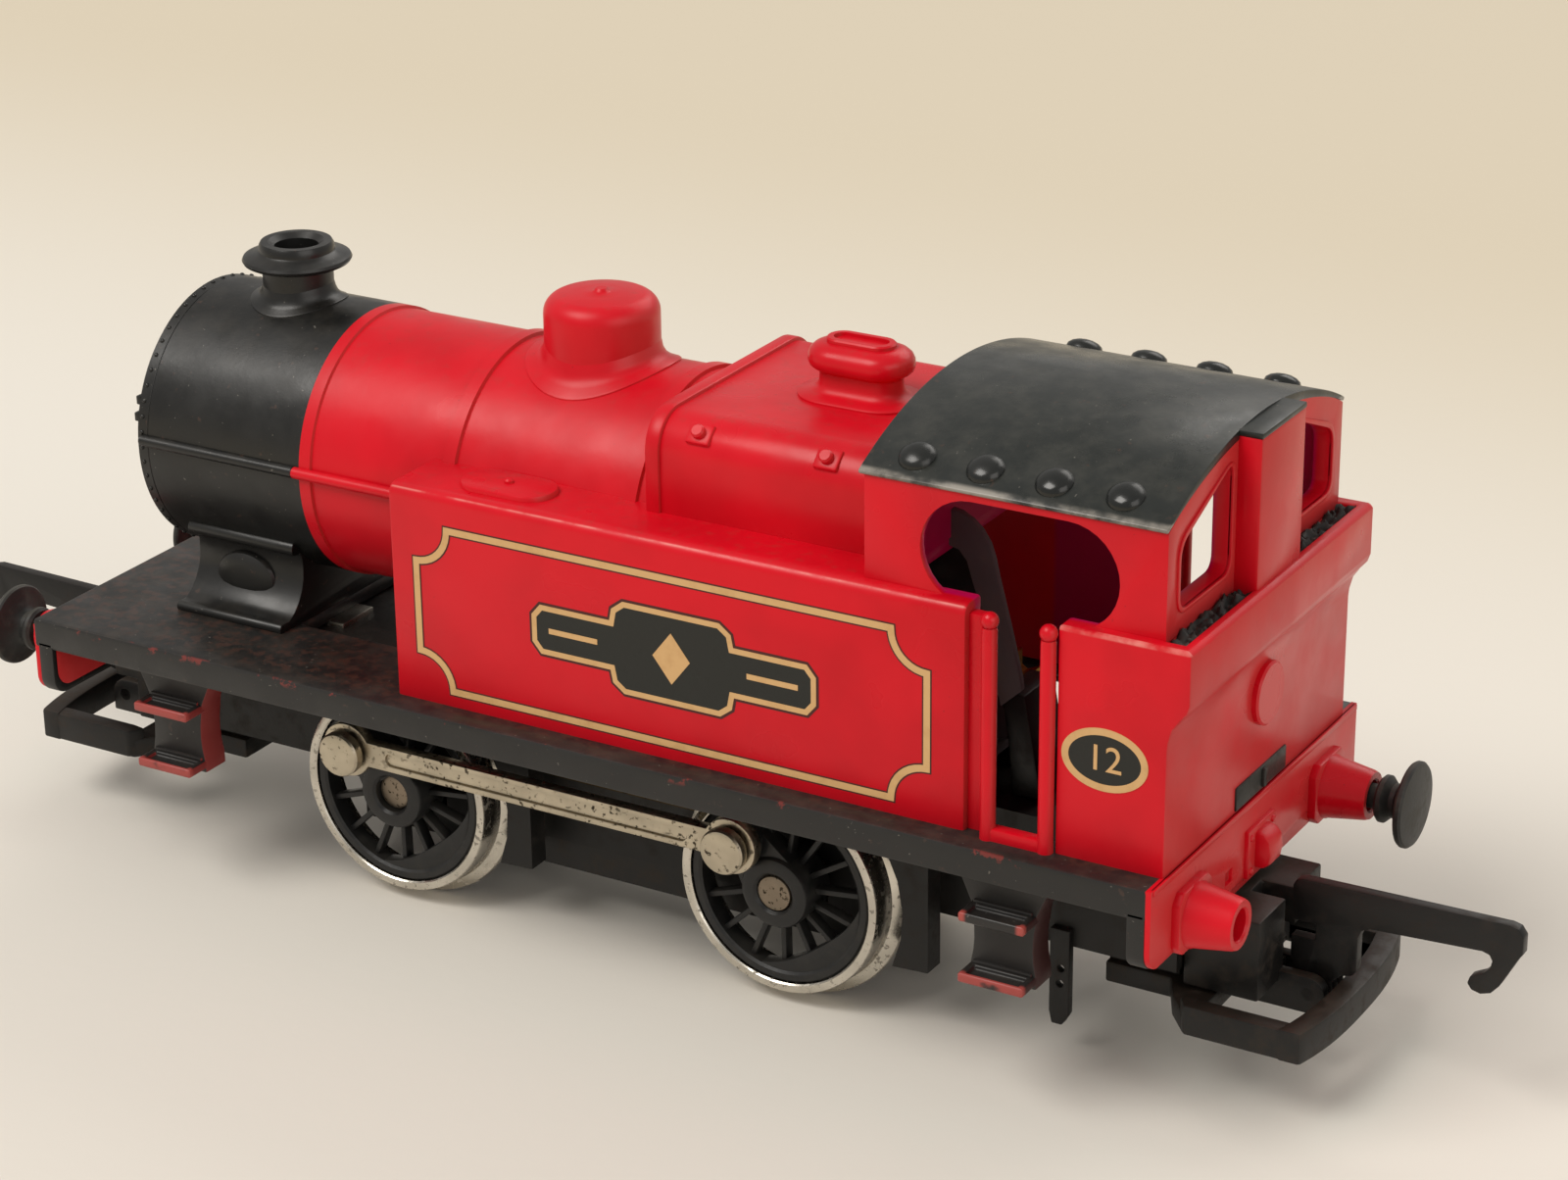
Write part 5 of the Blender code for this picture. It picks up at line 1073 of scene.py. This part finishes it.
def ribbon(path, width, side, proud):
    """A closed flat band along a path on the side of the engine."""
    bm = bmesh.new()
    loops = [[], []]
    count = len(path)
    for i in range(count):
        before, here, after = Vector(path[i - 1]), Vector(path[i]), Vector(path[(i + 1) % count])
        first, second = (here - before).normalized(), (after - here).normalized()
        mean = (first + second).normalized()
        normal = Vector((-mean.y, mean.x))
        stretch = 1.0 / max(normal.dot(Vector((-first.y, first.x))), 0.4)
        for loop, sign in zip(loops, (-0.5, 0.5)):
            point = here + normal * width * sign * stretch
            loop.append([bm.verts.new((point.x, side * (TANK_HALF + h), point.y)) for h in (-ROOT, proud)])
    for i in range(count):
        j = (i + 1) % count
        (a0, a1), (b0, b1) = loops[0][i], loops[1][i]
        (c0, c1), (d0, d1) = loops[0][j], loops[1][j]
        for corners in ((a1, b1, d1, c1), (a0, c0, d0, b0), (a0, a1, c1, c0), (b0, d0, d1, b1)):
            bm.faces.new(corners)
    return to_temp(bm)


def hollow_panel(x0, x1, z0, z1, radius):
    """A rectangle whose corners are bitten away by quarter circles."""
    corners = ((x0, z0, 90), (x1, z0, 180), (x1, z1, 270), (x0, z1, 0))
    return [point for x, z, start in corners for point in arc(x, z, radius, start, start - 90, 10)]


def number_mesh(text, x, z, s):
    """A fleet number as a flat mesh on the side of the engine."""
    letters = bpy.data.curves.new("number", "FONT")
    letters.body = text
    letters.size, letters.extrude = NUMBER_SIZE, NUMBER_THICK
    letters.align_x = letters.align_y = "CENTER"
    number = new_object("number", letters)
    flat = new_object("number_mesh", bpy.data.meshes.new_from_object(number))
    bpy.data.objects.remove(number, do_unlink=True)
    stand = Matrix.Rotation(math.pi / 2, 4, "X")
    if s > 0:
        stand = Matrix.Rotation(math.pi, 4, "Z") @ stand
    flat.data.transform(Matrix.Translation((x, s * (TANK_HALF + 0.02), z)) @ stand)
    return flat


print("lining stands", PROUD, "mm proud")

# %% Lining and plates
panel = hollow_panel(-12.0, 28.9, 21.1, 33.4, 2.7)
half_plate = [(20.3, 26.6), (19.7, 25.9), (13.9, 25.9), (13.7, 24.9), (12.9, 24.3)]
PLATE_X, PLATE_Z, DIAMOND_X, DIAMOND_Z, BARS_X, BAR_LENGTH, BAR_WIDTH = 9.1, 27.55, 1.5, 1.9, 8, 4.0, 0.4
lower_edge = half_plate + [(2 * PLATE_X - a, b) for a, b in reversed(half_plate)]
name_plate = lower_edge + [(a, 2 * PLATE_Z - b) for a, b in reversed(lower_edge)]
diamond = [(PLATE_X - DIAMOND_X, PLATE_Z), (PLATE_X, PLATE_Z - DIAMOND_Z), (PLATE_X + DIAMOND_X, PLATE_Z),
           (PLATE_X, PLATE_Z + DIAMOND_Z)]
OVAL_X, OVAL_Z = 41.9, 27.4
oval_plate = arc(OVAL_X, OVAL_Z, 2.85, 0, 360, 48, 0.69)[:-1]
for side_name, s in (("left", -1), ("right", 1)):
    wide = [ribbon(panel, 0.72, s, PROUD * 0.5), ribbon(name_plate, 0.8, s, PROUD * 0.5)]
    body_piece(gather(*wide), "lining_edge_" + side_name, line_edge)
    fine = [ribbon(panel, 0.5, s, PROUD), ribbon(name_plate, 0.4, s, PROUD * 1.6),
            ribbon(oval_plate, 0.5, s, PROUD * 1.6), number_mesh("12", OVAL_X, OVAL_Z, s)]
    reach = (s * (TANK_HALF - ROOT), s * (TANK_HALF + PROUD * 2))
    fine.append(prism(diamond, "y", *reach))
    for x in (PLATE_X - BARS_X, PLATE_X + BARS_X):
        fine.append(block((x - BAR_LENGTH / 2, x + BAR_LENGTH / 2), reach,
                          (PLATE_Z - BAR_WIDTH / 2, PLATE_Z + BAR_WIDTH / 2)))
    body_piece(gather(*fine), "lining_gold_" + side_name, gold_line)
    reach = (s * (TANK_HALF - ROOT), s * (TANK_HALF + PROUD))
    fields = [prism(name_plate, "y", *reach), prism(oval_plate, "y", *reach)]
    body_piece(gather(*fields), "plate_fields_" + side_name, plate_field)
print("lining on both sides")

# %% [markdown]
# ## Wheels
# A wheel is a black moulded centre in a nickel tyre. The spokes repeat, so a second Geometry Nodes tree
# sets one bar on every point of a circle and turns it to face outwards. The hub, rim, crescent weight and
# crank boss are added as solids. The wheels on the two sides stand a quarter turn apart.

# %% Spoke tree
spoke_tree, given = start_tree("spokes", {"Count": "Int", "Inner": "Float", "Outer": "Float",
                                          "Width": "Float", "Depth": "Float", "Finish": "Material"})
span = add(spoke_tree, "ShaderNodeMath", {0: given["Outer"], 1: given["Inner"]}, operation="SUBTRACT")
both = add(spoke_tree, "ShaderNodeMath", {0: given["Outer"], 1: given["Inner"]}, operation="ADD")
half = add(spoke_tree, "ShaderNodeMath", {0: both.outputs[0], 1: 0.5}, operation="MULTIPLY")
bar_size = add(spoke_tree, "ShaderNodeCombineXYZ", {"X": span.outputs[0], "Y": given["Width"],
                                                    "Z": given["Depth"]})
bar = add(spoke_tree, "GeometryNodeMeshCube", {"Size": bar_size.outputs["Vector"]})
ring = add(spoke_tree, "GeometryNodeMeshCircle", {"Vertices": given["Count"], "Radius": half.outputs[0]})
outward = add(spoke_tree, "GeometryNodeInputPosition")
aim = add(spoke_tree, "FunctionNodeAlignRotationToVector", {"Vector": outward.outputs["Position"]},
          axis="X", pivot_axis="Z")
end_tree(spoke_tree, given, {"Points": ring.outputs["Mesh"], "Instance": bar.outputs["Mesh"],
                             "Rotation": aim.outputs["Rotation"]})
print("spoke tree has", len(spoke_tree.nodes), "nodes")

# %% Wheel sizes and spokes
AXLE_Z, REAR_AXLE_X, WHEELBASE = 9.0, 14.4, 33.0
TREAD_R, FLANGE_R, TYRE_BORE, TYRE_INNER, WHEEL_FACE = 8.0, 9.0, 7.25, 7.0, 10.0
CRANK_X, CRANK_Z = -2.75, 3.65
throw = math.hypot(CRANK_X, CRANK_Z)
left_crank = math.atan2(CRANK_Z, CRANK_X)
SPOKES, HUB_R, SPOKE_WIDTH, SPOKE_DEPTH = 15, 2.7, 0.42, 0.95
CRANKS = (("left", -1, left_crank), ("right", 1, left_crank - math.pi / 2))


def crank_place(x, crank):
    """Where the crankpin of the axle at x is."""
    return polar(x, AXLE_Z, throw, crank)


def spokes(crank):
    """All the spokes of one wheel, the first of them towards the crank."""
    values = {"Count": SPOKES, "Inner": HUB_R - 0.4, "Outer": TYRE_BORE - 0.6, "Width": SPOKE_WIDTH,
              "Depth": SPOKE_DEPTH, "Finish": wheel_black}
    bars = run_tree(spoke_tree, bpy.data.meshes.new("spokes"), values)
    bars.data.transform(Matrix.Rotation(crank, 4, "Z"))
    return soften(bars, 0.1)


print("crank throw", round(throw, 2), "mm")

# %% Wheel centre, tyre and crankpin
b, h, inner, face, top = TYRE_BORE, HUB_R, TYRE_INNER, WHEEL_FACE, 12.28
RIM = [(b - 0.85, 8.3), (b - 0.05, 8.3), (b - 0.05, 9.7), (b - 0.2, 9.85), (b - 0.65, 9.85), (b - 0.85, 9.7)]
HUB = [(1.42, 7.3), (h, 7.3), (h, 10.35), (h - 0.12, 10.55), (h - 0.4, 10.65), (1.62, 10.65), (1.42, 10.45)]
TYRE = [(b, inner), (FLANGE_R - 0.4, inner), (FLANGE_R - 0.12, inner + 0.1), (FLANGE_R, inner + 0.35),
        (FLANGE_R - 0.1, inner + 0.6), (TREAD_R + 0.4, inner + 0.9), (TREAD_R + 0.14, inner + 1.05),
        (TREAD_R + 0.04, inner + 1.3), (TREAD_R - 0.02, face - 0.2), (TREAD_R - 0.1, face - 0.04),
        (TREAD_R - 0.22, face), (b + 0.1, face), (b, face - 0.1)]
PIN = [(0, 8.6), (0.74, 8.6), (0.74, 10.95), (1.05, 10.95), (1.05, top), (1.6, top), (1.72, top + 0.1),
       (1.72, top + 0.72), (1.6, top + 0.9), (1.35, top + 0.99), (0, top + 1.05)]
BOSS_R, WEB_R, WEIGHT_SWING, WEIGHT_STEPS = 1.75, 1.6, math.radians(52), 16


def wheel_centre(x, s, crank):
    """Spokes, rim, hub, crank boss and crescent weight of one wheel."""
    stand = Matrix.Translation((x, 0, AXLE_Z)) @ Matrix(((1, 0, 0), (0, 0, -1), (0, 1, 0))).to_4x4()
    bars = spokes(crank)
    bars.data.transform(Matrix.Translation((0, s * (WHEEL_FACE - 1.1), 0)) @ stand)
    rim = turned(RIM, "y", (x, 0, AXLE_Z), 72, True, s)
    hub = turned(HUB, "y", (x, 0, AXLE_Z), 48, True, s)
    px, pz = crank_place(x, crank)
    boss = cylinder(BOSS_R, "y", (px, 0, pz), s * 8.4, s * 10.9, 32, 0.15)
    web = [polar(x, AXLE_Z, HUB_R, crank + t) for t in (1.1, -1.1)]
    web += [polar(px, pz, WEB_R, crank + t) for t in (-1.2, 1.2)]
    web = soften(prism(web, "y", s * 8.5, s * 10.25), 0.15)
    shares = [k / WEIGHT_STEPS for k in range(WEIGHT_STEPS + 1)]
    start, end = crank + math.pi - WEIGHT_SWING, crank + math.pi + WEIGHT_SWING
    crescent = [polar(x, AXLE_Z, TYRE_BORE - 0.5, start + 2 * WEIGHT_SWING * k) for k in shares]
    crescent += [polar(x, AXLE_Z, TYRE_BORE - 0.9 - 1.4 * math.sin(math.pi * k), end - 2 * WEIGHT_SWING * k)
                 for k in shares]
    weight = soften(prism(crescent, "y", s * 8.5, s * 9.7), 0.12)
    return gather(bars, rim, hub, boss, web, weight), px, pz


def wheel(end_name, x, side_name, s, crank):
    body, tail = end_name + "_wheelset", end_name + "_" + side_name
    made, px, pz = wheel_centre(x, s, crank)
    emit(made, "wheel_" + tail, wheel_black, body, ("wheel_centre_" + tail,))
    tyre = turned(TYRE, "y", (x, 0, AXLE_Z), 96, True, s)
    emit(tyre, "tyre_visual_" + tail, bright_nickel, body, ("tyre_" + tail,), 28)
    pin = turned(PIN, "y", (px, 0, pz), 40, sign=s)
    emit(pin, "crankpin_visual_" + tail, nickel, body, ("crankpin_" + tail,))


for end_name, axle_x, reach in (("rear", REAR_AXLE_X, 10.62), ("front", REAR_AXLE_X - WHEELBASE, 10.1)):
    for side_name, s, crank in CRANKS:
        wheel(end_name, axle_x, side_name, s, crank)
    right = [(1.5, 7.1), (1.38, 7.2), (1.38, reach - 0.3), (1.28, reach - 0.1), (1.0, reach)]
    right.append((0, reach + 0.02))
    shape = [(r, -y) for r, y in reversed(right)] + right
    emit(turned(shape, "y", (axle_x, 0, AXLE_Z), 40), "axle_visual_" + end_name, axle_steel,
         end_name + "_wheelset", ("axle_" + end_name,))
print("four wheels with", SPOKES, "spokes each")

# %% [markdown]
# ## Coupling rods
# A rod is a flat bar with a round eye at each end and a shallow flute along its outer face. It hangs on
# the rear crankpin and keeps level as the wheels turn.

# %% Coupling rods
ROD_INNER, ROD_OUTER, ROD_DEPTH, EYE_R, EYE_BORE = 11.0, 12.0, 1.95, 2.1, 1.33
FLUTE_R, FLUTE_END, FLUTE_DEEP = 0.5, 4.0, 0.3
for side_name, s, crank in CRANKS:
    px, pz = crank_place(REAR_AXLE_X, crank)
    rise = math.degrees(math.asin(ROD_DEPTH / 2 / EYE_R))
    outline = arc(px, pz, EYE_R, 180 - rise, -180 + rise, 32)
    outline += arc(px - WHEELBASE, pz, EYE_R, -rise, -360 + rise, 32)
    bar = prism(outline, "y", s * ROD_INNER, s * ROD_OUTER)
    for x in (px, px - WHEELBASE):
        carve(bar, cylinder(EYE_BORE, "y", (x, 0, pz), -20, 20, 32))
    flute = arc(px - FLUTE_END, pz, FLUTE_R, -90, 90, 8)
    flute += arc(px - WHEELBASE + FLUTE_END, pz, FLUTE_R, 90, 270, 8)
    carve(bar, prism(flute, "y", s * (ROD_OUTER - FLUTE_DEEP), s * (ROD_OUTER + 1)))
    emit(soften(bar, 0.1), "rod_visual_" + side_name, nickel, side_name + "_rod",
         ("rod_" + side_name,))
print("rods", WHEELBASE, "mm between eyes")

# %% [markdown]
# ## Couplings
# Each end has a moulded loop with a bowed bar under a square block, and a hook cut from thin plate that
# lifts on a pin. The block has a slot that lets the hook swing. Both are outlines with rounded edges.

# %% Coupling loops
PIVOT_X, PIVOT_Z, SCREW_X = BEAM_X + 4.8, 6.6, 40.2
LOOP_HALF, BAR_Z, BAR_TALL, BAR_THICK, ARM_WIDE, WEB_THICK = 8.8, 5.2, 2.4, 1.7, 1.5, 1.6
BAR_IN, LUG_R = PIVOT_X + 1.7, 1.25
ENDS = (("rear", 1), ("front", -1))


def coupling_loop(tail, end):
    """The loop, its lugs and pad, and the block above that the hook swings in."""
    low = BAR_Z - 0.1
    web = [(SCREW_X - 3.0, -4.2), (SCREW_X + 2.0, -4.2), (SCREW_X + 3.2, -6.5),
           (SCREW_X + 4.8, -LOOP_HALF + 0.4), (BAR_IN, -LOOP_HALF + 0.4)]
    web = prism(flip(web + [(x, -y) for x, y in reversed(web)], end), "z", low, low + WEB_THICK)
    carve(web, block((end * (SCREW_X + 5.6), end * (BAR_IN + 4)),
                     (ARM_WIDE - LOOP_HALF, LOOP_HALF - ARM_WIDE), (0, 20)))
    parts = [soften(web, 0.2)]
    bow = [(BAR_IN + 0.12 - 1.0 * abs(k / 12 - 1) ** 2.6, (k / 12 - 1) * LOOP_HALF) for k in range(25)]
    bow += [(x + BAR_THICK, y) for x, y in reversed(bow)]
    parts.append(soften(prism(flip(bow, end), "z", BAR_Z, BAR_Z + BAR_TALL), 0.22))
    for s in SIDES:
        out = s * (LOOP_HALF - 0.04)
        arm = [(44.4, s * 7.5), (45.2, out), (BAR_IN, out), (BAR_IN, s * 7.3), (45.6, s * 7.3)]
        parts.append(soften(prism(flip(arm, end), "z", BAR_Z + 0.04, BAR_Z + BAR_TALL - 0.1), 0.22))
        lug = [(SCREW_X + 1.5, low), (PIVOT_X + 1.2, low)] + arc(PIVOT_X, PIVOT_Z, LUG_R, 0, 90, 6)
        lug.append((SCREW_X + 1.5, PIVOT_Z + LUG_R))
        parts.append(soften(prism(flip(lug, end), "y", s * 0.76, s * 1.7), 0.12))
    pad = block((end * (SCREW_X - 3.0), end * (SCREW_X + 2.4)), (-3.6, 3.6), (low, 8.05))
    carve(pad, cylinder(2.15, "z", (end * SCREW_X, 0, 0), low - 1, low + 0.8, 24))
    parts.append(soften(pad, 0.2))
    parts.append(block((end * (SCREW_X + 1.5), end * (PIVOT_X - 2.7)), (-1.2, 1.2), (low, PIVOT_Z + 1.1)))
    mount = block((end * 43.5, end * 49.05), (-5.2, 5.2), (7.0, 13.0))
    carve(mount, block((end * 46.5, end * 52), (-0.85, 0.85), (5, 16)))
    carve(mount, block((end * 46.9, end * 52), (end * 0.5, end * 6.0), (5, 10.2)))
    parts.append(soften(mount, 0.22))
    emit(gather(*parts), "loop_visual_" + tail, coupling_black, "engine",
         ("coupling_loop_" + tail,))


for tail, end in ENDS:
    coupling_loop(tail, end)
print("loop bar at", BAR_IN, "mm")

# %% Coupling hooks
HOOK_TOP, HOOK_END, HOOK_THICK, HOOK_UNDER = 14.5, PIVOT_X + 14.5, 0.9, 11.85
HOOK_EYE_R, HOOK_BORE = 1.35, 0.78
plate = [(49.3, 8.5), (49.3, 10.15), (51.05, 10.15), (51.05, 11.3), (49.3, 11.3), (49.3, 13.9),
         (49.55, 14.35), (50.1, HOOK_TOP), (64.7, HOOK_TOP + 0.2), (65.3, HOOK_TOP + 0.05),
         (HOOK_END, HOOK_TOP - 0.5), (HOOK_END, 12.75), (65.4, 12.3), (64.2, 10.0), (63.65, 9.35),
         (62.95, 9.12), (62.3, 9.28), (61.98, 9.7), (62.15, 10.25), (62.6, 10.5), (63.1, 10.75),
         (63.5, 11.2), (63.62, 11.75), (63.4, 12.15), (62.9, 12.3), (55.0, HOOK_UNDER + 0.05),
         (54.4, HOOK_UNDER - 0.2), (54.15, HOOK_UNDER - 0.8), (54.15, 8.5), (53.8, 8.05), (53.0, 7.85)]
plate += arc(PIVOT_X, PIVOT_Z, HOOK_EYE_R, 30, -200, 20)
for tail, end in ENDS:
    hook = prism(flip(plate, end), "y", -HOOK_THICK / 2, HOOK_THICK / 2)
    carve(hook, cylinder(HOOK_BORE, "y", (end * PIVOT_X, 0, PIVOT_Z), -2, 2, 24))
    emit(soften(hook, 0.1), "hook_visual_" + tail, hook_black, tail + "_hook",
         ("hook_" + tail,))
print("couplings reach", round(HOOK_END, 1), "mm from the middle")

# %% [markdown]
# ## Motor yoke
# Through the cab opening the arched end of the motor shows, a flat brown-grey casting with a crack in its
# crown. Below it the pole pieces are black. All are outlines pushed across the engine.

# %% Motor yoke
MOTOR_X, ARCH_X, ARCH_THICK, YOKE_NEAR, YOKE_FAR = 25.35, 24.75, 0.55, -4.2, 0.4
POLE = ((5.3, 25.2), (6.7, 17.6), (4.4, 17.6), (4.0, 21.8), (3.4, 25.2))
half_arch = [(0.0, 37.9), (0.9, 37.78), (1.75, 37.35), (2.5, 36.7), (3.1, 35.8), (3.45, 34.8), (3.75, 33.5),
             (4.7, 30.0), (5.6, 26.4), (5.7, 25.6), (4.1, 24.1), (2.5, 31.1), (1.9, 32.7), (1.4, 34.3),
             (0.8, 35.0), (0.0, 35.2)]
outline = [(ARCH_X + a, b) for a, b in half_arch] + [(ARCH_X - a, b) for a, b in reversed(half_arch)][1:-1]
arch = prism(outline, "y", YOKE_NEAR, YOKE_NEAR + ARCH_THICK)
carve(arch, block((24.25, 24.4), (YOKE_NEAR - 1, YOKE_NEAR + 0.35), (35.0, 37.5)))
emit(soften(arch, 0.18), "motor_yoke_visual", magnet, "engine", ("motor_yoke",))
poles = []
for s in SIDES:
    pole = [(MOTOR_X + s * a, b) for a, b in POLE]
    poles.append(soften(prism(pole, "y", YOKE_NEAR + 0.1, YOKE_FAR), 0.2))
behind = [(-4.6, 25.0), (3.6, 25.0), (2.0, 32.7), (1.0, 35.0), (-1.9, 35.0), (-3.0, 32.7)]
poles.append(prism([(ARCH_X + a, b) for a, b in behind], "y", YOKE_NEAR + 1.2, YOKE_NEAR + 1.7))
emit(gather(*poles), "motor_pole_pieces", hook_black, "engine", ("motor_yoke",))
print("yoke top at", half_arch[0][1], "mm")

# %% [markdown]
# ## Chassis dressing
# A bright lug shows in the opening behind the saddle, and a flat post with two holes hangs on each side
# of the chassis near the back. They are small plates that sit on the cast block.

# %% Chassis dressing
lug = soften(block((-28.9, -26.6), (-4.7, -0.8), (18.2, 18.95)), 0.12)
emit(lug, "chassis_lug", steel, "engine")
posts = []
for s in SIDES:
    post = prism([(34.1, 9.6), (35.6, 9.6), (35.6, 3.1), (35.1, 2.2), (34.3, 2.2), (34.1, 3.1)], "y",
                 s * 5.9, s * 6.6)
    for x, z in ((34.95, 6.6), (34.9, 5.4)):
        carve(post, cylinder(0.28, "y", (x, 0, z), -10, 10, 16))
    posts.append(soften(post, 0.1))
emit(gather(*posts), "chassis_posts", chassis_black, "engine")
print("two posts and a lug")

# %% [markdown]
# ## Finishes on the frame's own pieces
# The chassis, gears, screws and other inner pieces already have the right shape, so the frame's own
# solids stay and only get a finish.

# %% Finishes on the frame's own pieces
OWN_FINISH = {"black_moulding": coupling_black, "chassis_black": chassis_black, "nickel": nickel,
              "steel": steel, "blackened_steel": hook_black, "brass": brass, "ballast_lead": lead,
              "magnet_iron": magnet, "body_paint": red_plastic}
slot_of = {row["node"]: row["material_slot"] for row in frame["record"]["subparts"]}
for node_name, solid in frame["nodes"].items():
    solid.data.materials.clear()
    own = OWN_FINISH[slot_of[node_name]]
    solid.data.materials.append(tarnished if node_name.startswith("pickup") else own)
print("finished", len(slot_of), "nodes of the frame")

# %% [markdown]
# ## Floor and light
# The engine stands on a pale floor in soft light from a large lamp on the near side, weaker ones from
# the end and the back, and a pale world. The floor is one flat sheet that rides on no body, so it is not
# part of the engine. It grows warmer with distance, so the far part reads as a soft backdrop.

# %% Floor
STAGE_HALF, STAGE_NEAR, STAGE_FAR = 8.0, 45.0, 190.0
bm = bmesh.new()
bmesh.ops.create_grid(bm, x_segments=1, y_segments=1, size=STAGE_HALF)
floor = object_from(bm, "studio_floor")
paper = Finish("pale_studio_paper", "#DFDAD1", {"Roughness": 0.85})
# Matt paper: no shine, a pale grey near the engine and beige further away
paper.lay("#D0C5B0", 1.0, paper.placed("Y", STAGE_NEAR, STAGE_FAR))
floor.data.materials.append(paper.done(1.5, 0.02))
print("floor", 2 * STAGE_HALF, "m wide")

# %% Lamps
MIDDLE = Vector((0.0, 0.0, 0.025))


def lamp(name, place, size, power, colour):
    """A soft lamp that looks at the middle of the engine."""
    data = bpy.data.lights.new(name, "AREA")
    data.shape = "RECTANGLE"
    data.size, data.size_y = size
    data.energy = power
    data.color = linear(colour)[:3]
    made = new_object(name, data)
    made.location = place
    made.rotation_euler = (MIDDLE - Vector(place)).to_track_quat("-Z", "Y").to_euler()


lamp("key_lamp", (-0.78, -1.26, 2.04), (1.5, 1.2), 45.0, "#FFFBF5")
lamp("fill_lamp", (2.04, -0.90, 1.08), (1.8, 1.5), 13.0, "#FFFAF4")
lamp("back_lamp", (0.30, 1.86, 1.44), (1.8, 1.2), 14.0, "#FFFBF5")
WORLD_STRENGTH = 0.50
world = bpy.data.worlds.new("pale_room")
bpy.context.scene.world = world
world.use_nodes = True
background = world.node_tree.nodes["Background"]
background.inputs["Color"].default_value = linear("#F4F1EC")
background.inputs["Strength"].default_value = WORLD_STRENGTH
bpy.context.scene.view_settings.view_transform = "Standard"
print("lamps ready")
